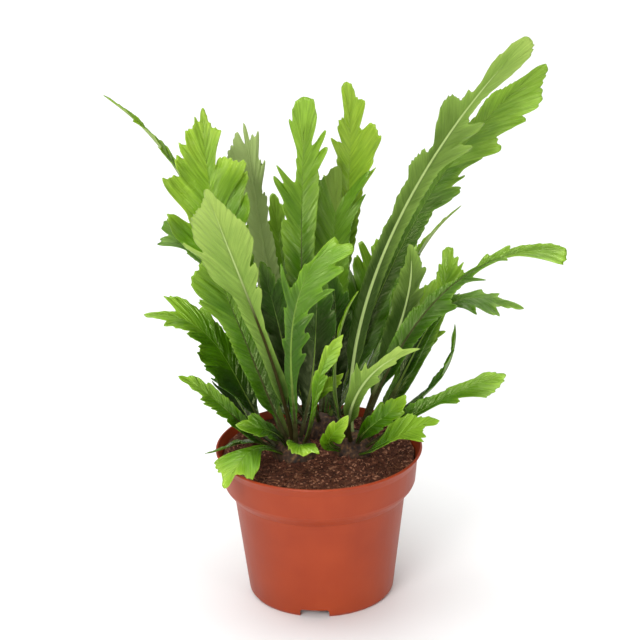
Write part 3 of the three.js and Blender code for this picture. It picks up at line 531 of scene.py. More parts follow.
# Fronds of the left crown. Each grew as one leathery blade on a short stipe, with a raised midrib,
# close parallel side veins and an edge cut into toothed, ruffled lobes. Most show their glossy
# upper side, and some turn their paler underside to the front.
STIPE_HALF_WIDTH = 1.3
STIPE_THICKNESS = 1.8
RIB_THICKNESS = 0.9
EDGE_THICKNESS = 0.3
EDGE_SWELL = 0.15
RIB_TIP_HALF_WIDTH = 0.45
RIB_DIP = 0.25
PLEAT_HEIGHT = 0.2
PLEAT_RATE = 1.15
ROOT_DEPTH = 4.5
LOBED_FROM = 0.28
VEIN_ANGLE = 46
VEIN_LEAN = 46
VEIN_LEAN_GAIN = 12
RIPPLE_LENGTH = 14
RIPPLE_SPREAD = 20
ROW_STEP = 0.8
STALK_ROWS = 5
TOOTH_LENGTH = 4.3
TEETH_GROW = (4, 14)
POINTED_SHARE = 0.45
NOTCH_SHARPNESS = 2.8
ROUNDED_FROM = 0.96
ROUNDING_PASSES = 3
COLUMNS_PER_SIDE = 9
BLADE_COLUMNS = (0, 0, 0, 0.14, 0.3, 0.48, 0.66, 0.82, 0.93, 1)
MIDRIB_STEPS = 200
BROWN_FADE = 0.2

# launch is the heading, rise and handle length of the midrib's curve at the crown, bend its second
# handle, tip its end, and face where the upper side looks. right and left are the blade's edges:
# shares of its length, each with the length of its side vein. A frond without them has a width, and
# its lobes are drawn. brown is how far up the midrib is brown, and light makes the blade paler.
USUAL = dict(width=0, lobes=0, cut=0, twist=0, fold=10, wave=2, stalk=0.2, crest=0.6, swell=0.68,
             neck=(0.8, 0), tone="green", brown=0.3, ruffle=1.4, blind=1.1, teeth=1.25, fan=10,
             light=0)

LEFT_FRONDS = [
    dict(name="frond_left_1", launch=(152, 72, 76), bend=(-64, 19, 220), tip=(-62, 28, 288),
         face=(-75, 20), twist=10, stalk=0.16, tone="young", point=13, blind=2.0, ruffle=1.2,
         brown=0.1,
         right=[(0.06, 11), (0.2, 14), (0.4, 26), (0.46, 30), (0.5, 20), (0.53, 34), (0.56, 36),
                (0.58, 24), (0.6, 38), (0.64, 38), (0.655, 22), (0.67, 38), (0.72, 30), (0.775, 22),
                (0.81, 10), (0.83, 12), (0.86, 24), (0.89, 20), (0.93, 16), (0.97, 14)],
         left=[(0.06, 11), (0.2, 14), (0.38, 14), (0.42, 18), (0.44, 46), (0.48, 52), (0.53, 41),
               (0.54, 28), (0.58, 34), (0.6, 53), (0.64, 44), (0.69, 30), (0.705, 38), (0.74, 36),
               (0.77, 27), (0.795, 32), (0.82, 25), (0.86, 26), (0.9, 20), (0.935, 20), (0.96, 10),
               (0.975, 15)]),
    dict(name="frond_left_2", launch=(-105, 72, 70), bend=(-44, -28, 208), tip=(-58, -49, 267),
         face=(80, 5), fold=14, wave=1.5, stalk=0.16, tone="sage", point=16, brown=0.6, blind=0.2,
         ruffle=0.4, teeth=0.9, light=0.05,
         right=[(0.06, 7), (0.2, 9), (0.4, 14), (0.49, 17), (0.505, 30), (0.54, 34), (0.56, 32),
                (0.575, 42), (0.595, 46), (0.61, 44), (0.62, 29), (0.64, 28), (0.665, 34),
                (0.74, 33), (0.81, 28), (0.9, 20), (0.96, 17)],
         left=[(0.06, 7), (0.2, 5), (0.38, 4), (0.46, 7), (0.49, 14), (0.515, 14), (0.54, 7),
               (0.57, 19), (0.6, 19), (0.63, 9), (0.645, 17), (0.665, 25), (0.745, 25), (0.825, 20),
               (0.9, 17), (0.95, 15)]),
    dict(name="frond_left_3", launch=(140, 54, 57), bend=(-44, 30, 204), tip=(-90, 46, 202),
         face=(-50, 40), tone="deep", point=12, light=-0.15,
         right=[(0.06, 8), (0.2, 10), (0.5, 14), (0.6, 16), (0.62, 12), (0.7, 18), (0.78, 24),
                (0.8, 19), (0.84, 31), (0.88, 28), (0.92, 24), (0.94, 14), (0.97, 14)],
         left=[(0.06, 7), (0.2, 8), (0.45, 12), (0.5, 7), (0.6, 11), (0.65, 6), (0.75, 8),
               (0.83, 9), (0.865, 9), (0.88, 3), (0.935, 19), (0.96, 17), (0.99, 9)]),
    dict(name="frond_left_4", launch=(-150, 68, 52), bend=(-46, -10, 178), tip=(-62, -14, 222),
         face=(-70, 30), stalk=0.16, point=16, brown=0.95, light=0.02,
         right=[(0.06, 10), (0.2, 12), (0.42, 16), (0.5, 12), (0.56, 19), (0.66, 19), (0.72, 12),
                (0.78, 19), (0.9, 17)],
         left=[(0.06, 10), (0.2, 12), (0.4, 15), (0.565, 17), (0.6, 25), (0.615, 32), (0.64, 31),
               (0.665, 26), (0.7, 32), (0.75, 33), (0.79, 30), (0.87, 22), (0.95, 17)]),
    dict(name="frond_left_5", launch=(178, 45, 52), bend=(-48, -14, 184), tip=(-97, -22, 183),
         face=(-70, 60), point=12, light=-0.05,
         right=[(0.06, 11), (0.25, 14), (0.45, 20), (0.55, 16), (0.6, 22), (0.64, 17), (0.66, 25),
                (0.68, 20), (0.725, 26), (0.75, 22), (0.81, 23), (0.84, 9), (0.9, 7), (0.97, 8)],
         left=[(0.06, 11), (0.12, 14), (0.24, 32), (0.3, 34), (0.37, 30), (0.42, 40), (0.45, 46),
               (0.48, 30), (0.53, 24), (0.56, 20), (0.6, 22), (0.7, 17), (0.75, 18), (0.8, 15),
               (0.84, 19), (0.87, 13), (0.95, 13)]),
    dict(name="frond_left_6", launch=(-150, 32, 40), bend=(-48, -32, 132), tip=(-78, -40, 153),
         face=(-80, 50), wave=1.5, point=10, brown=0.6, light=0,
         right=[(0.06, 7), (0.3, 8), (0.5, 10), (0.6, 8), (0.71, 12), (0.75, 8), (0.8, 9),
                (0.85, 12), (0.87, 8), (0.905, 12), (0.93, 8), (0.97, 9)],
         left=[(0.06, 7), (0.2, 8), (0.35, 10), (0.43, 6), (0.5, 12), (0.54, 9), (0.585, 13),
               (0.61, 9), (0.655, 15), (0.69, 10), (0.73, 15), (0.77, 7), (0.84, 5), (0.88, 8),
               (0.93, 6), (0.96, 10)]),
    dict(name="frond_left_7", launch=(-132, 34, 38), bend=(-40, -36, 109), tip=(-54, -51, 88),
         face=(-90, 60), wave=1, tone="young", point=11,
         right=[(0.06, 3), (0.4, 4), (0.5, 8), (0.54, 20), (0.57, 21), (0.7, 18), (0.79, 15),
                (0.845, 11), (0.92, 11), (0.97, 12)],
         left=[(0.06, 3), (0.32, 4), (0.365, 19), (0.48, 20), (0.545, 21), (0.65, 17), (0.79, 9),
               (0.9, 3), (0.93, 9), (0.97, 11)]),
    dict(name="frond_left_8", launch=(-178, 33, 34), bend=(-48, -8, 94), tip=(-66, -10, 91),
         face=(90, 75), wave=1, stalk=0.12, tone="deep", point=5,
         right=[(0.06, 6), (0.3, 8), (0.42, 6), (0.5, 8), (0.65, 6), (0.75, 3), (0.85, 4),
                (0.95, 3)],
         left=[(0.06, 6), (0.25, 9), (0.4, 7), (0.45, 9), (0.6, 6), (0.7, 3), (0.9, 3)]),
    dict(name="frond_left_9", launch=(-86, 50, 20), bend=(-11, -29, 108), tip=(-9, -36, 100),
         width=21, lobes=3, cut=0.3, face=(-60, 60), wave=0.6, stalk=0.36, swell=0.2, tone="young"),
    dict(name="frond_left_10", launch=(-84, 64, 56), bend=(-27, -30, 192), tip=(11, -20, 227),
         face=(-85, 10), wave=1.5, stalk=0.16, tone="young", point=17, light=-0.38,
         right=[(0.06, 3), (0.2, 4), (0.26, 6), (0.31, 9), (0.335, 15), (0.38, 10), (0.415, 9),
                (0.43, 17), (0.465, 16), (0.48, 12), (0.52, 12), (0.55, 19), (0.58, 17), (0.6, 12),
                (0.635, 12), (0.65, 31), (0.68, 29), (0.7, 20), (0.74, 20), (0.78, 32), (0.81, 31),
                (0.84, 23), (0.865, 22), (0.88, 34), (0.925, 31), (0.95, 22)],
         left=[(0.06, 3), (0.2, 3.5), (0.27, 6), (0.42, 5), (0.465, 9), (0.49, 5), (0.56, 8),
               (0.615, 12), (0.64, 8), (0.66, 10), (0.672, 33), (0.7, 27), (0.72, 12), (0.8, 7),
               (0.85, 11), (0.93, 6), (0.985, 5)]),
    dict(name="frond_left_11", launch=(-40, 57, 36), bend=(-6, -20, 146), tip=(15, -18, 167),
         face=(-60, 20), wave=0.8, stalk=0.3, tone="young", point=5,
         right=[(0.06, 2), (0.2, 3), (0.3, 6), (0.42, 9), (0.47, 5), (0.53, 4), (0.6, 10),
                (0.68, 12), (0.76, 9), (0.82, 9), (0.92, 6)],
         left=[(0.06, 2), (0.2, 3), (0.38, 7), (0.5, 7), (0.55, 4), (0.66, 6), (0.74, 9), (0.8, 6),
               (0.86, 7), (0.94, 5)]),
    dict(name="frond_left_12", crown="back", launch=(-104, 62, 26), bend=(-9, 12, 110),
         tip=(15, 1, 135), width=10, lobes=4, cut=0.55, face=(-70, 20), wave=0.5, stalk=0.4,
         tone="young"),
    dict(name="frond_left_13", launch=(-130, 56, 26), bend=(-27, -31, 116), tip=(-47, -37, 121),
         width=20, lobes=3, cut=0.35, face=(-80, 50), wave=0.5, stalk=0.12, light=-0.1),
    dict(name="frond_left_14", launch=(152, 24, 42), bend=(-44, 26, 112), tip=(-64, 44, 122),
         width=28, lobes=4, cut=0.55, face=(-30, 60), stalk=0.12, swell=0.45, tone="deep",
         light=-0.25),
    dict(name="frond_left_15", launch=(20, 74, 56), bend=(-2, 6, 150), tip=(2, 4, 200), width=26,
         lobes=4, cut=0.45, face=(-90, 20), stalk=0.12, swell=0.4, tone="deep", light=-0.25),
    dict(name="frond_left_16", launch=(92, 70, 56), bend=(-23, 3, 171), tip=(-31, 1, 205), width=26,
         lobes=5, cut=0.45, face=(-80, 20), stalk=0.12, swell=0.45, tone="deep", light=-0.25),
]


def smooth(low, high, value):
    """An S-shaped step from 0 at low to 1 at high."""
    share = min(1.0, max(0.0, (value - low) / (high - low)))
    return share * share * (3 - 2 * share)


def blend(first, last, share):
    """The value that lies at a share of the way from the first to the last."""
    return first + (last - first) * share


def heading_vector(azimuth, rise):
    """A unit vector from its heading round Z and its rise above level, in degrees."""
    azimuth, rise = math.radians(azimuth), math.radians(rise)
    level = math.cos(rise)
    return Vector((math.cos(azimuth) * level, math.sin(azimuth) * level, math.sin(rise)))


def draw(seed, count):
    """A repeatable draw from 0 to 1."""
    value = math.sin(seed * 12.9898 + count * 78.233) * 43758.5453
    return value - math.floor(value)


class Midrib:
    """A frond's midrib: a cubic curve from the crown, measured along its length."""

    def __init__(self, frond, crown):
        start = heading_vector(*frond["launch"][:2])
        crown = Vector(CROWNS[crown])
        root = crown + start * (CROWN_RADIUS - ROOT_DEPTH)
        handle = crown + start * frond["launch"][2]
        self.handles = (root, handle, Vector(frond["bend"]), Vector(frond["tip"]))
        self.face = heading_vector(*frond["face"])
        self.twist = math.radians(frond["twist"])
        self.marks = [0.0]
        last = root
        for step in range(1, MIDRIB_STEPS + 1):
            here = self.point(step / MIDRIB_STEPS)
            self.marks.append(self.marks[-1] + (here - last).length)
            last = here
        self.length = self.marks[-1]

    def point(self, turn):
        """The curve's place, turn running from 0 at the crown to 1 at the tip."""
        a, b, c, d = self.handles
        rest = 1 - turn
        return a * rest ** 3 + b * 3 * rest ** 2 * turn + c * 3 * rest * turn ** 2 + d * turn ** 3

    def tangent(self, turn):
        """The curve's direction."""
        a, b, c, d = self.handles
        rest = 1 - turn
        return ((b - a) * rest ** 2 + (c - b) * 2 * rest * turn + (d - c) * turn ** 2).normalized()

    def frame(self, distance):
        """Origin, up and across at a distance along the midrib."""
        wanted = min(self.length, max(0.0, distance))
        low = min(bisect.bisect_right(self.marks, wanted), MIDRIB_STEPS) - 1
        beyond = (wanted - self.marks[low]) / (self.marks[low + 1] - self.marks[low])
        turn = (low + beyond) / MIDRIB_STEPS
        forward = self.tangent(turn)
        origin = self.point(turn) + forward * (distance - wanted)
        up = (self.face - forward * self.face.dot(forward)).normalized()
        up.rotate(Quaternion(forward, self.twist * wanted / self.length))
        return origin, up, forward.cross(up)


def envelope(frond, share):
    """Half the blade's width along its length, as a share of the widest place."""
    widening = 0.2 + 0.8 * smooth(0, frond["swell"], share)
    narrowing = 1 - (1 - frond["crest"]) * smooth(0.6, 1, share)
    waist, depth = frond["neck"]
    return widening * narrowing * (1 - depth * math.exp(-(((share - waist) / 0.09) ** 2)))


def vein_length(frond, share):
    """The length of a side vein in a blade that isn't lobed."""
    return envelope(frond, share) * frond["width"] / 2 / math.cos(math.radians(VEIN_ANGLE))


def grown_edge(frond, seed):
    """An edge for a frond that gives none: uneven lobes, cut towards the midrib."""
    knots = [(LOBED_FROM / 2, vein_length(frond, LOBED_FROM / 2))]
    spans = [0.65 + 0.7 * draw(seed, 3 * lobe) for lobe in range(frond["lobes"])]
    start = LOBED_FROM
    for lobe, weight in enumerate(spans):
        span = (1 - LOBED_FROM) * weight / sum(spans)
        length = vein_length(frond, start + span / 2) * (0.8 + 0.4 * draw(seed, 3 * lobe + 1))
        depth = frond["cut"] * (0.75 + 0.4 * draw(seed, 3 * lobe + 2))
        knots.append((start + 0.3 * span, length))
        if lobe < frond["lobes"] - 1:
            knots.append((start + 0.8 * span, length * 0.96))
            knots.append((start + span, length * (1 - depth)))
        start += span
    return knots


class Edge:
    """One edge of a blade: a smooth line through its knots, cut into lobes by sharp notches, with
    small teeth that are rounded on some lobes and pointed on others."""

    def __init__(self, frond, knots, blade_length, point, seed):
        self.knots = [(0, 1.5 * STIPE_HALF_WIDTH), *knots, (1, point)]
        self.blade_length = blade_length
        self.teeth = frond["teeth"]
        self.seed = seed
        lengths = [length for _, length in self.knots]
        inside = range(1, len(lengths) - 1)
        self.notches = [self.knots[0]]
        self.notches += [self.knots[at] for at in inside
                         if lengths[at - 1] > lengths[at] <= lengths[at + 1]]
        self.notches.append((1.02, 0.6 * point))

    def rise(self, at):
        """How fast the length grows from one knot to the next."""
        at = min(max(at, 0), len(self.knots) - 2)
        (start, first), (end, last) = self.knots[at:at + 2]
        return (last - first) / (end - start)

    def slope(self, at, beside):
        """The line's slope at a knot: level on top of a lobe, sharp in a notch, else even."""
        before, after = self.rise(at - 1), self.rise(at)
        if before * after > 0:
            return 2 * before * after / (before + after)
        return NOTCH_SHARPNESS * self.rise(beside) if before < 0 < after else 0.0

    def length(self, share):
        """The length of the side vein at a share of the blade."""
        at = min(bisect.bisect_right(self.knots, (share, math.inf)), len(self.knots) - 1) - 1
        (start, first), (end, last) = self.knots[at:at + 2]
        span = end - start
        turn = (share - start) / span
        there = turn * turn * (3 - 2 * turn)
        pull = self.slope(at, at) * (1 - turn) - self.slope(at + 1, at) * turn
        bow = turn * (1 - turn) * span * pull
        return max(blend(first, last, there) + bow, min(first, last))

    def lobe(self, share):
        """A vein's lobe, its place across the lobe, and how far out the lobe is still joined."""
        number = bisect.bisect_right(self.notches, (share, math.inf)) - 1
        (start, first), (end, last) = self.notches[number:number + 2]
        place = (share - start) / (end - start)
        return number, place, blend(first, last, place)

    def tooth(self, share):
        """How far the edge's small teeth shorten a side vein."""
        number = self.lobe(share)[0]
        stretch = TOOTH_LENGTH * (0.75 + 0.6 * draw(self.seed + 0.37, number))
        turn = share * self.blade_length / stretch + draw(self.seed + 0.71, number)
        wave = abs(math.sin(math.pi * turn))
        pointed = draw(self.seed + 0.13, number) < POINTED_SHARE
        count = math.floor(turn) if pointed else round(turn)
        dip = wave if pointed else 1 - wave
        dip *= 0.4 + 1.2 * draw(self.seed + 0.83, 17 * number + count)
        grown = smooth(*TEETH_GROW, self.length(share)) * (1 - smooth(ROUNDED_FROM, 1, share))
        return self.teeth * dip * grown


class Blade:
    """The layout of a frond's rows, which follow its side veins, and its columns."""

    def __init__(self, frond, crown, seed):
        self.frond = frond
        self.seed = seed
        self.midrib = Midrib(frond, crown)
        self.stalk = frond["stalk"] * self.midrib.length
        self.tip = frond.get("point", vein_length(frond, 1))
        self.length = self.midrib.length - self.stalk - self.tip
        self.edges = {}
        for side, name in ((1, "right"), (-1, "left")):
            knots = frond.get(name) or grown_edge(frond, seed + side / 4)
            self.edges[side] = Edge(frond, knots, self.length, self.tip, seed + side / 4)
        steps = max(8, round(self.length / ROW_STEP))
        shares = {step / steps for step in range(steps + 1)}
        for edge in self.edges.values():
            for share, _ in edge.knots[1:-1]:
                shares = {each for each in shares if abs(each - share) > 0.4 / steps} | {share}
        shares = sorted(shares)
        self.rows = [part / STALK_ROWS - 1 for part in range(STALK_ROWS)] + shares
        self.ends = {side: self.outline(side, shares) for side in self.edges}

    def lean(self, share):
        """A side vein's direction, sideways and forward."""
        last = 90 - VEIN_LEAN - VEIN_LEAN_GAIN
        lean = math.radians(VEIN_LEAN + VEIN_LEAN_GAIN * share + last * share ** self.frond["fan"])
        return Vector((math.cos(lean), math.sin(lean)))

    def outline(self, side, shares):
        """Where each row's vein ends, sideways and forward: the edge with its corners rounded off,
        the blade's tip on a quarter of an ellipse, and the teeth cut last."""
        edge = self.edges[side]
        starts = [Vector((0, self.stalk + share * self.length)) for share in shares]
        ends = [start + self.lean(share) * edge.length(share)
                for start, share in zip(starts, shares)]
        ends[-1] = Vector((0, self.midrib.length))
        shoulder = next(at for at, share in enumerate(shares) if share > ROUNDED_FROM) - 1
        for at in range(shoulder + 1, len(ends) - 1):
            turn = math.pi / 2 * (1 - shares[at]) / (1 - shares[shoulder])
            if ends[shoulder].y < self.midrib.length:
                ends[at] = Vector((ends[shoulder].x * math.sin(turn),
                                   blend(ends[shoulder].y, self.midrib.length, math.cos(turn))))
        for _ in range(ROUNDING_PASSES):
            inner = [(before + 2 * here + after) / 4
                     for before, here, after in zip(ends, ends[1:], ends[2:])]
            ends = [ends[0], *inner, ends[-1]]
        for at, share in enumerate(shares):
            ends[at] -= self.lean(share) * edge.tooth(share)
            ends[at].x = max(ends[at].x, STIPE_HALF_WIDTH * (1 - smooth(0.9, 1, share)))
        return ends

    def vein(self, row, side):
        """Where a row's vein starts, and where it ends forward and sideways."""
        share = self.rows[row]
        if share < 0:
            start = (1 + share) * self.stalk
            return start, start, STIPE_HALF_WIDTH
        end = self.ends[side][row - STALK_ROWS]
        return self.stalk + share * self.length, end.y, end.x

    def rib_half_width(self, start):
        """Half the midrib's width, from the stipe's to a fine tip."""
        narrowing = smooth(0, 0.8, start / self.midrib.length)
        return blend(STIPE_HALF_WIDTH, RIB_TIP_HALF_WIDTH, narrowing)

    def column(self, column, start, aside):
        """A column's share of its vein: spread evenly on the stipe, close by the rib on a blade."""
        rib = min(self.rib_half_width(start) / aside, 0.5) if aside > 0 else 0.5
        settled = rib * column / 2 if column <= 2 else rib + (1 - rib) * BLADE_COLUMNS[column]
        return blend(column / COLUMNS_PER_SIDE, settled, smooth(2, 6, aside))

    def point(self, row, column, side):
        """A grid point's place, its thickness, and what the skin's pattern reads there."""
        frond = self.frond
        start, ahead, aside = self.vein(row, side)
        out = self.column(column, start, aside)
        offset = out * aside
        distance = blend(start, ahead, out)
        origin, up, across = self.midrib.frame(distance)
        along = math.hypot(offset, distance - start)
        number, place, attached = self.edges[side].lobe(max(0.0, self.rows[row]))
        lobe_seed = self.seed + side / 4
        loose = smooth(0.4 * attached, attached + 9, along)
        tilt = frond["blind"] * (0.4 + 1.2 * draw(lobe_seed + 0.51, number)) * (1 - 2 * place)
        curl = frond["ruffle"] * (2.4 * draw(lobe_seed + 0.93, number) - 1.0)
        lift = loose * (1.5 * tilt + curl * out * math.sin(math.pi * min(1, place)))
        lift *= 1 - smooth(0.88, 1, self.rows[row])
        pleat = PLEAT_HEIGHT * out ** 1.3 * math.sin(start * PLEAT_RATE + self.seed)
        pleat *= smooth(3, 12, along)
        ripple = frond["wave"] * (offset / RIPPLE_SPREAD) ** 1.5
        ripple *= math.sin(math.pi * distance / RIPPLE_LENGTH + self.seed + side)
        rib = min(self.rib_half_width(start), aside)
        bell = max(0.0, 1 - (offset / rib) ** 2) if rib > 0 else 0
        fold = math.radians(frond["fold"])
        height = offset * math.sin(fold) + ripple + lift + pleat - RIB_DIP * bell
        where = origin + across * (side * offset * math.cos(fold)) + up * height
        middle = blend(STIPE_THICKNESS, RIB_THICKNESS, start / self.midrib.length)
        thickness = blend(EDGE_THICKNESS + EDGE_SWELL * (1 - out), middle, math.sqrt(bell))
        share = start / self.midrib.length
        brown = min(1.0, max(0.0, (frond["brown"] - share) / BROWN_FADE + 0.5))
        leaf = (max(0.0, share + frond["light"]), out, draw(lobe_seed + 0.29, number), brown)
        return where, thickness, leaf, (start, along * side)


def leaf_skin(name, shaded_foot, middle, tip, rib, rough, veined):
    """A frond's skin: dark at its foot, partly as painted shade of the crowded clump, and paler at
    its tip and edges, the edges partly as painted light shining through the blade. It is streaked
    and dented along the side veins, the streaks painted lighter on the relief's ridges and darker
    in its furrows as painted highlight and shade, with a midrib of its own colour. An underside is
    duller, and its veins show less."""
    material, tree, shader = start_material(name)
    place = add_node(tree, "TexCoord").outputs["Object"]
    veins = add_node(tree, "UVMap", uv_map="veins").outputs["UV"]
    leaf = add_node(tree, "Attribute", attribute_name="leaf", attribute_type="GEOMETRY")
    parts = add_node(tree, "SeparateColor", {"Color": leaf.outputs["Color"]}).outputs
    share, out, pick = parts["Red"], parts["Green"], parts["Blue"]
    brown = leaf.outputs["Alpha"]
    streak = noise_at(tree, stretched(tree, veins, (0.9, 0.06, 1)), 1, 3)
    bands = {"Vector": veins, "Scale": 0.3, "Distortion": 1.1, "Detail": 1, "Detail Scale": 0.4}
    lines = add_node(tree, "TexWave", bands, bands_direction="X").outputs["Fac"]
    cloud = noise_at(tree, place, 55, 3)
    fine = noise_at(tree, place, 900, 2)

    # The foot's colour, low on this ramp, is partly painted shade of the crowded clump.
    toward_tip = sums(tree, "MULTIPLY_ADD", cloud, 0.3, -0.15)
    toward_tip = sums(tree, "ADD", toward_tip, share)
    # The blade is paler towards its edges, partly as painted light shining through the thin blade.
    edge = sums(tree, "MULTIPLY", sums(tree, "POWER", out, 3), 0.28)
    toward_tip = sums(tree, "ADD", toward_tip, edge)
    toward_tip = sums(tree, "ADD", toward_tip, sums(tree, "MULTIPLY_ADD", pick, 0.16, -0.08))
    colour = ramp(tree, toward_tip, (0.2, shaded_foot), (0.62, middle), (1.0, tip))
    # The streaks are painted lighter on the relief's ridges and darker in its furrows, as painted
    # highlight and shade; the vein lines take the darker tone as their own colour.
    shade_and_vein_tone = mixed(tree, 0.4 + 0.6 * veined, colour, (0.72, 0.76, 0.66, 1), "MULTIPLY")
    painted_lit_tone = mixed(tree, 0.4 + 0.6 * veined, colour, (1.22, 1.16, 1.18, 1), "MULTIPLY")
    colour = mixed(tree, ranged(tree, streak, (0.3, 0.7)), shade_and_vein_tone, painted_lit_tone)
    colour = mixed(tree, sums(tree, "MULTIPLY", lines, 0.16 * veined), colour, shade_and_vein_tone)
    way = add_node(tree, "SeparateXYZ", {"Vector": veins}).outputs["Y"]
    near = sums(tree, "ABSOLUTE", way, 0.0)
    width = sums(tree, "MULTIPLY_ADD", share, -0.95, 1.15)
    width = sums(tree, "MULTIPLY", width, sums(tree, "MULTIPLY_ADD", brown, 0.55, 1.0))
    rib_mask = ranged(tree, sums(tree, "DIVIDE", near, width), (1.0, 0.7))
    rib_colour = mixed(tree, brown, rib, linear(40, 26, 7))
    colour = mixed(tree, sums(tree, "MULTIPLY", rib_mask, 0.95), colour, rib_colour)
    tree.links.new(colour, shader.inputs["Base Color"])

    uneven = ranged(tree, cloud, after=(rough - 0.08, rough + 0.12))
    uneven = sums(tree, "ADD", uneven, sums(tree, "MULTIPLY", rib_mask, 0.4))
    tree.links.new(uneven, shader.inputs["Roughness"])
    relief = sums(tree, "MULTIPLY", streak, 1.6)
    relief = sums(tree, "ADD", relief, sums(tree, "MULTIPLY", lines, 0.5 * veined))
    relief = sums(tree, "ADD", relief, sums(tree, "MULTIPLY", fine, 0.25))
    dents = noise_at(tree, stretched(tree, veins, (0.16, 0.045, 1)), 1, 1)
    crinkle = bumped(tree, dents, 1.0, 0.0024 * veined)
    tree.links.new(bumped(tree, relief, 0.5, 0.0008, Normal=crinkle), shader.inputs["Normal"])
    shader.inputs["Specular IOR Level"].default_value = 0.8 if veined == 1 else 0.35
    shader.inputs["Specular Tint"].default_value = (0.85, 1, 0.45, 1)
    return material


def make_frond(frond, crown, seed):
    """One frond, from its crown or the one that it names."""
    frond = {**USUAL, **frond}
    blade = Blade(frond, frond.get("crown", crown), seed)
    shape = bmesh.new()
    rows = len(blade.rows)
    columns = 2 * COLUMNS_PER_SIDE + 1
    bmesh.ops.create_grid(shape, x_segments=rows - 1, y_segments=columns - 1, size=0.5)
    veins = shape.loops.layers.uv.new("veins")
    leaf = shape.verts.layers.float_color.new("leaf")
    weights = shape.verts.layers.deform.new()
    patterns = {}
    for vert in shape.verts:
        row = round((vert.co.x + 0.5) * (rows - 1))
        column = round((vert.co.y + 0.5) * (columns - 1)) - COLUMNS_PER_SIDE
        side = 1 if column <= 0 else -1
        where, thickness, vert[leaf], patterns[vert] = blade.point(row, abs(column), side)
        vert.co = where * MM
        vert[weights][0] = thickness / STIPE_THICKNESS
    for face in shape.faces:
        for loop in face.loops:
            loop[veins].uv = patterns[loop.vert]
    bmesh.ops.remove_doubles(shape, verts=shape.verts, dist=0.0005 * MM)
    upper, under = SKINS[frond.get("skin", frond["tone"])]
    piece = finished(frond["name"] + "_blade", shape, [upper, under])
    piece.vertex_groups.new(name="thickness")
    wall = piece.modifiers.new("thickness", "SOLIDIFY")
    wall.thickness = STIPE_THICKNESS * MM
    wall.offset = 0
    wall.vertex_group = "thickness"
    wall.material_offset = 1
    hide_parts(frond["name"])


# Each skin's upper side and underside: the colours at its foot, middle and tip, its roughness, and
# how far its veins show. The foot's colour is darkened in part as painted shade of the crowded
# clump.
RIBS = {"upper": linear(112, 140, 52), "under": linear(160, 180, 112)}
SKIN_SIDES = {
    "young": (((44, 84, 4), (96, 143, 24), (148, 184, 56), 0.22, 1),
              ((82, 116, 34), (118, 148, 56), (146, 174, 60), 0.36, 0.5)),
    "green": (((20, 46, 1), (66, 108, 10), (126, 166, 48), 0.2, 1),
              ((56, 88, 22), (94, 126, 46), (124, 156, 50), 0.34, 0.5)),
    "deep": (((12, 30, 1), (42, 82, 5), (94, 136, 34), 0.18, 1),
             ((36, 62, 14), (62, 94, 30), (92, 126, 36), 0.32, 0.5)),
    "sage": (((30, 60, 2), (68, 112, 10), (120, 160, 30), 0.22, 1),
             ((36, 60, 8), (112, 142, 60), (146, 172, 82), 0.36, 0.4)),
}
SKINS = {}
for tone, sides in SKIN_SIDES.items():
    SKINS[tone] = []
    for side, (shaded_foot_colour, middle, tip, rough, veined) in zip(("upper", "under"), sides):
        colours = [linear(*each) for each in (shaded_foot_colour, middle, tip)]
        SKINS[tone].append(leaf_skin(f"{tone}_{side}", *colours, RIBS[side], rough, veined))

for frond_index, each in enumerate(LEFT_FRONDS):
    make_frond(each, "left", 1 + frond_index)

# Fronds of the right crown. Among them are the tallest one, which shows its underside and its pale
# midrib, and the long ones that arch out to the right.
RIGHT_SEED = 1 + len(LEFT_FRONDS)

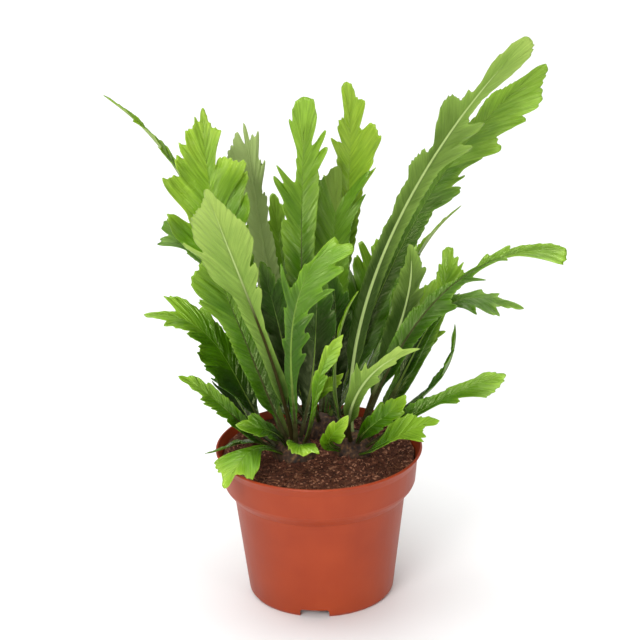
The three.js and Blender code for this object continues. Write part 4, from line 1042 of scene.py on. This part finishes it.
RIGHT_FRONDS = [
    dict(name="frond_right_1", launch=(150, 82, 84), bend=(56, 14, 262), tip=(119, -6, 336),
         face=(85, 5), stalk=0.14, tone="sage", point=26, brown=0, light=-0.25,
         right=[(0.06, 7), (0.2, 8), (0.4, 9), (0.47, 8), (0.49, 11), (0.55, 11), (0.562, 9),
                (0.575, 17), (0.61, 15), (0.65, 13), (0.66, 5), (0.68, 8), (0.695, 4), (0.715, 18),
                (0.74, 24), (0.765, 24), (0.8, 17), (0.82, 10), (0.845, 13), (0.87, 7), (0.9, 8),
                (0.92, 13), (0.925, 18), (0.945, 20), (0.97, 24)],
         left=[(0.06, 7), (0.2, 8), (0.4, 10), (0.55, 12), (0.62, 14), (0.65, 28), (0.67, 27),
               (0.69, 14), (0.705, 21), (0.73, 27), (0.755, 22), (0.77, 13), (0.8, 8), (0.85, 9),
               (0.875, 13), (0.9, 22), (0.93, 30), (0.94, 33), (0.965, 32)]),
    dict(name="frond_right_5", launch=(52, 64, 51), bend=(60, 18, 169), tip=(54, 16, 208),
         face=(85, 10), tone="sage", point=10, light=-0.45,
         right=[(0.06, 7), (0.2, 8), (0.4, 14), (0.5, 12), (0.6, 15), (0.7, 12), (0.79, 13),
                (0.86, 9), (0.93, 10)],
         left=[(0.06, 7), (0.2, 8), (0.4, 12), (0.53, 12), (0.555, 14), (0.6, 10), (0.635, 15),
               (0.66, 15), (0.72, 8), (0.75, 14), (0.775, 18), (0.8, 14), (0.85, 13), (0.92, 12)]),
    dict(name="frond_right_6", launch=(-10, 72, 64), bend=(73, 4, 216), tip=(142, -2, 209),
         face=(-100, 50), point=14, brown=0.9, light=-0.05,
         right=[(0.06, 8), (0.2, 10), (0.33, 14), (0.37, 16), (0.41, 22), (0.45, 13), (0.5, 9),
                (0.58, 7), (0.595, 11), (0.61, 27), (0.625, 7), (0.7, 4), (0.79, 3), (0.8, 10),
                (0.81, 3), (0.845, 4), (0.865, 6), (0.875, 14), (0.885, 28), (0.91, 27),
                (0.96, 20)],
         left=[(0.06, 8), (0.2, 10), (0.3, 12), (0.35, 9), (0.39, 5), (0.415, 10), (0.44, 7),
               (0.48, 7), (0.58, 3), (0.7, 2), (0.715, 9), (0.74, 4), (0.775, 10), (0.79, 13),
               (0.82, 5), (0.84, 8), (0.895, 10), (0.93, 14), (0.96, 15)]),
    dict(name="frond_right_7", launch=(20, 50, 60), bend=(76, 26, 160), tip=(77, 34, 199),
         face=(-110, 25), point=9,
         right=[(0.06, 7), (0.2, 7), (0.5, 8), (0.65, 10), (0.7, 12), (0.745, 24), (0.765, 21),
                (0.8, 17), (0.82, 21), (0.84, 14), (0.88, 16), (0.92, 9), (0.95, 13)],
         left=[(0.06, 7), (0.2, 7), (0.5, 8), (0.7, 7), (0.765, 9), (0.8, 13), (0.83, 9),
               (0.865, 12), (0.9, 8), (0.945, 13), (0.98, 9)]),
    dict(name="frond_right_8", launch=(2, 55, 80), bend=(60, 24, 190), tip=(118, -4, 175),
         face=(-95, 60), stalk=0.3, point=10, light=-0.25,
         right=[(0.06, 7), (0.3, 6), (0.5, 4), (0.58, 5), (0.6, 22), (0.635, 21), (0.66, 15),
                (0.695, 16), (0.705, 24), (0.745, 26), (0.8, 22), (0.81, 12), (0.875, 12),
                (0.95, 11)],
         left=[(0.06, 7), (0.3, 6), (0.5, 7), (0.59, 10), (0.62, 6), (0.68, 6), (0.72, 10),
               (0.775, 6), (0.81, 5), (0.825, 11), (0.87, 5), (0.93, 4), (0.965, 8)]),
    dict(name="frond_right_9", launch=(36, 38, 42), bend=(54, 26, 138), tip=(72, 30, 163),
         face=(-80, 50), point=11,
         right=[(0.06, 7), (0.25, 7), (0.49, 8), (0.53, 12), (0.565, 15), (0.62, 12), (0.665, 16),
                (0.71, 15), (0.75, 21), (0.79, 15), (0.85, 12), (0.9, 14), (0.925, 18), (0.95, 12)],
         left=[(0.06, 7), (0.25, 7), (0.4, 10), (0.47, 6), (0.53, 12), (0.6, 12), (0.65, 7),
               (0.72, 12), (0.8, 12), (0.86, 8), (0.93, 11)]),
    dict(name="frond_right_10", launch=(-26, 52, 47), bend=(81, 0, 122), tip=(79, 2, 164), width=14,
         lobes=4, cut=0.45, face=(180, 40), stalk=0.12, tone="deep"),
    dict(name="frond_right_11", launch=(-52, 38, 50), bend=(74, -28, 137), tip=(106, -36, 148),
         face=(-100, 60), point=13,
         right=[(0.06, 7), (0.2, 5), (0.35, 3), (0.56, 5), (0.585, 14), (0.64, 14), (0.655, 6),
                (0.69, 16), (0.7, 30), (0.76, 25), (0.865, 20), (0.915, 17), (0.955, 16)],
         left=[(0.06, 7), (0.15, 6), (0.3, 11), (0.47, 9), (0.6, 8), (0.75, 8), (0.82, 9),
               (0.85, 13), (0.9, 13), (0.95, 12)]),
    dict(name="frond_right_12", launch=(-76, 22, 38), bend=(48, -38, 118), tip=(68, -50, 127),
         face=(-90, 60), point=11, light=0.2,
         right=[(0.06, 7), (0.2, 4), (0.45, 3), (0.57, 5), (0.62, 22), (0.65, 26), (0.7, 22),
                (0.745, 25), (0.8, 16), (0.86, 8), (0.91, 4), (0.94, 12)],
         left=[(0.06, 7), (0.15, 8), (0.3, 16), (0.49, 19), (0.6, 16), (0.75, 12), (0.87, 11),
               (0.95, 10)]),
    dict(name="frond_right_13", launch=(-112, 56, 42), bend=(26, -28, 156), tip=(58, -36, 165),
         face=(75, 0), tone="sage", point=15,
         right=[(0.06, 7), (0.2, 8), (0.32, 10), (0.38, 15), (0.4, 11), (0.425, 20), (0.46, 12),
                (0.52, 9), (0.57, 12), (0.6, 6), (0.75, 5), (0.85, 8), (0.89, 13), (0.92, 10),
                (0.95, 8)],
         left=[(0.06, 7), (0.2, 6), (0.45, 7), (0.57, 11), (0.62, 6), (0.75, 5), (0.85, 8),
               (0.88, 5), (0.95, 6)]),
    dict(name="frond_right_14", launch=(-138, 26, 34), bend=(7, -30, 108), tip=(17, -31, 123),
         width=17, lobes=3, cut=0.45, face=(-80, 30), wave=0.6, stalk=0.12, tone="young"),
    dict(name="frond_right_15", launch=(-82, 50, 34), bend=(42, -18, 116), tip=(50, -20, 130),
         width=20, lobes=4, cut=0.45, face=(-80, 40), stalk=0.12, tone="sage"),
    dict(name="frond_right_16", launch=(158, 62, 50), bend=(18, 24, 150), tip=(8, 14, 196),
         width=26, lobes=4, cut=0.45, face=(-90, 20), stalk=0.12, swell=0.4, tone="deep",
         light=-0.25),
    dict(name="frond_right_17", launch=(-150, 64, 50), bend=(12, -8, 176), tip=(24, -12, 191),
         width=8, lobes=3, cut=0.35, face=(180, 20), stalk=0.12, tone="sage"),
]

for frond_index, each in enumerate(RIGHT_FRONDS):
    make_frond(each, "right", RIGHT_SEED + frond_index)

# Fronds of the back crown. The tall ones show above the rest from the front, three of them lean to
# the right, and the others spread over the pot's far side.
BACK_SEED = RIGHT_SEED + len(RIGHT_FRONDS)

BACK_FRONDS = [
    dict(name="frond_right_2", launch=(46, 74, 65), bend=(8, 60, 189), tip=(15, 62, 240),
         face=(-95, 20), wave=2.5, tone="deep", point=19, light=0.4,
         right=[(0.06, 7), (0.2, 9), (0.4, 14), (0.6, 15), (0.68, 17), (0.725, 19), (0.735, 26),
                (0.76, 30), (0.78, 37), (0.79, 18), (0.81, 16), (0.82, 28), (0.835, 36), (0.84, 42),
                (0.865, 34), (0.88, 24), (0.9, 10), (0.93, 9), (0.96, 14), (0.985, 17)],
         left=[(0.06, 7), (0.2, 9), (0.4, 26), (0.495, 34), (0.53, 26), (0.6, 29), (0.63, 24),
               (0.72, 30), (0.79, 31), (0.81, 27), (0.86, 29), (0.88, 24), (0.93, 23), (0.98, 18)]),
    dict(name="frond_right_3", launch=(6, 68, 90), bend=(60, 42, 248), tip=(132, 34, 308),
         face=(-80, 10), stalk=0.15, point=22, brown=0,
         right=[(0.06, 7), (0.2, 8), (0.4, 12), (0.51, 11), (0.53, 22), (0.55, 23), (0.585, 13),
                (0.6, 14), (0.61, 24), (0.62, 12), (0.65, 14), (0.665, 24), (0.68, 20), (0.7, 31),
                (0.735, 25), (0.76, 19), (0.77, 24), (0.81, 33), (0.835, 23), (0.86, 35), (0.9, 31),
                (0.925, 26), (0.94, 27), (0.98, 24)],
         left=[(0.06, 7), (0.2, 8), (0.45, 12), (0.6, 13), (0.75, 14), (0.8, 12), (0.855, 20),
               (0.9, 17), (0.945, 15), (0.975, 15)]),
    dict(name="frond_right_4", launch=(20, 46, 60), bend=(48, 54, 190), tip=(86, 64, 213), width=18,
         lobes=5, cut=0.5, face=(170, 45), stalk=0.12, tone="sage"),
    dict(name="frond_back_1", launch=(176, 47, 87), bend=(-50, 62, 236), tip=(-121, 76, 281),
         width=22, lobes=6, cut=0.5, face=(0, 45), stalk=0.12, tone="sage"),
    dict(name="frond_back_2", launch=(-178, 66, 71), bend=(-31, 57, 206), tip=(-40, 60, 268),
         face=(100, 0), fan=4, tone="sage", point=18, light=0.8, skin="green",
         right=[(0.06, 8), (0.2, 10), (0.45, 14), (0.62, 14), (0.74, 20), (0.765, 33), (0.84, 29),
                (0.92, 25), (0.945, 12), (0.96, 12), (0.98, 17)],
         left=[(0.06, 7), (0.2, 9), (0.5, 12), (0.62, 9), (0.66, 14), (0.695, 15), (0.73, 11),
               (0.76, 12), (0.77, 26), (0.785, 24), (0.8, 16), (0.815, 20), (0.835, 15),
               (0.865, 30), (0.89, 22), (0.915, 23), (0.93, 14), (0.965, 17)]),
    dict(name="frond_back_3", launch=(-150, 76, 77), bend=(-6, 42, 225), tip=(-5, 38, 290),
         face=(-80, 10), point=24, brown=0.75, light=0.1, ruffle=1.6,
         right=[(0.06, 10), (0.3, 12), (0.5, 14), (0.7, 18), (0.76, 16), (0.78, 27), (0.8, 26),
                (0.815, 14), (0.83, 20), (0.85, 31), (0.86, 28), (0.87, 12), (0.9, 14), (0.915, 27),
                (0.94, 25), (0.955, 29)],
         left=[(0.06, 11), (0.3, 14), (0.5, 20), (0.56, 14), (0.58, 22), (0.6, 17), (0.62, 22),
               (0.645, 33), (0.66, 31), (0.68, 14), (0.7, 26), (0.715, 31), (0.73, 22), (0.745, 8),
               (0.83, 7), (0.845, 10), (0.86, 6), (0.885, 10), (0.905, 26), (0.925, 20), (0.94, 27),
               (0.965, 27)]),
    dict(name="frond_back_4", launch=(80, 64, 90), bend=(27, 78, 215), tip=(20, 74, 287),
         face=(-110, 15), tone="young", point=14, light=0.15,
         right=[(0.06, 7), (0.2, 9), (0.45, 14), (0.58, 16), (0.605, 30), (0.615, 19), (0.64, 27),
                (0.66, 24), (0.675, 39), (0.715, 35), (0.785, 27), (0.81, 16), (0.83, 12),
                (0.85, 22), (0.87, 26), (0.9, 20), (0.925, 17), (0.955, 19)],
         left=[(0.06, 7), (0.2, 9), (0.45, 16), (0.53, 18), (0.55, 28), (0.58, 20), (0.65, 12),
               (0.71, 14), (0.735, 23), (0.755, 15), (0.79, 8), (0.825, 15), (0.86, 14), (0.885, 8),
               (0.92, 9), (0.945, 15), (0.96, 17)]),
    dict(name="frond_back_5", launch=(148, 42, 60), bend=(-50, 70, 150), tip=(-62, 90, 190),
         width=34, lobes=5, cut=0.6, face=(-30, 50), stalk=0.12, swell=0.5),
    dict(name="frond_back_6", launch=(118, 56, 60), bend=(-20, 84, 172), tip=(-25, 106, 208),
         width=34, lobes=6, cut=0.6, face=(-60, 45), stalk=0.12, swell=0.5),
    dict(name="frond_back_7", launch=(92, 42, 60), bend=(8, 90, 150), tip=(12, 120, 170), width=32,
         lobes=5, cut=0.55, face=(-90, 50), stalk=0.12, swell=0.5, tone="deep"),
    dict(name="frond_back_8", launch=(46, 58, 60), bend=(40, 76, 160), tip=(48, 100, 192), width=44,
         lobes=6, cut=0.5, face=(-110, 40), stalk=0.12, swell=0.35),
    dict(name="frond_back_9", launch=(34, 36, 60), bend=(58, 72, 132), tip=(72, 92, 156), width=30,
         lobes=5, cut=0.55, face=(-140, 50), stalk=0.12),
    dict(name="frond_back_10", launch=(112, 20, 45), bend=(-14, 95, 118), tip=(-22, 122, 122),
         width=30, lobes=4, cut=0.55, face=(-80, 65), stalk=0.12, tone="deep"),
    dict(name="frond_back_11", launch=(66, 20, 45), bend=(36, 88, 118), tip=(46, 108, 118),
         width=28, lobes=4, cut=0.55, face=(-110, 65), stalk=0.12),
    dict(name="frond_back_12", launch=(152, 18, 45), bend=(-42, 70, 112), tip=(-64, 92, 114),
         width=28, lobes=4, cut=0.55, face=(-40, 65), stalk=0.12),
]

for frond_index, each in enumerate(BACK_FRONDS):
    make_frond(each, "back", BACK_SEED + frond_index)

# Floor and light. A plain pale floor, a soft light from the front and above on the left, a lower
# one in front, a weaker one from the right, and a wide one overhead that gives the fronds gloss.
STUDIO_FLOOR_RADIUS = 6.0
PLANT_MIDDLE = (0, 0, 0.17)


def make_floor():
    """The studio's floor, a flat disc that is far wider than the plant."""
    shape = bmesh.new()
    bmesh.ops.create_circle(shape, cap_ends=True, segments=96, radius=STUDIO_FLOOR_RADIUS)
    mesh = bpy.data.meshes.new("floor")
    shape.to_mesh(mesh)
    shape.free()
    floor = bpy.data.objects.new("floor", mesh)
    bpy.context.scene.collection.objects.link(floor)
    material, _, shader = start_material("floor_paper")
    shader.inputs["Base Color"].default_value = (0.86, 0.86, 0.86, 1)
    shader.inputs["Roughness"].default_value = 0.9
    mesh.materials.append(material)
    return floor


def add_lamp(name, place, target, size, power):
    """A square soft light that looks at a point."""
    data = bpy.data.lights.new(name, "AREA")
    data.size = size
    data.energy = power
    lamp = bpy.data.objects.new(name, data)
    lamp.location = place
    lamp.rotation_mode = "QUATERNION"
    lamp.rotation_quaternion = (Vector(target) - Vector(place)).to_track_quat("-Z", "Y")
    bpy.context.scene.collection.objects.link(lamp)


make_floor()
add_lamp("key", (-0.7, -1.5, 1.2), PLANT_MIDDLE, 0.7, 18)
add_lamp("front", (-0.3, -1.8, 0.45), PLANT_MIDDLE, 0.45, 10)
add_lamp("fill", (1.15, -1.45, 0.4), PLANT_MIDDLE, 0.45, 8)
add_lamp("overhead", (-0.2, 0.8, 2.2), (0, 0.5, 0), 3.0, 85)

world = bpy.data.worlds.new("studio")
world.use_nodes = True
background = world.node_tree.nodes["Background"]
background.inputs["Color"].default_value = (1, 1, 1, 1)
background.inputs["Strength"].default_value = 0.18
bpy.context.scene.world = world
bpy.context.scene.view_settings.view_transform = "Standard"
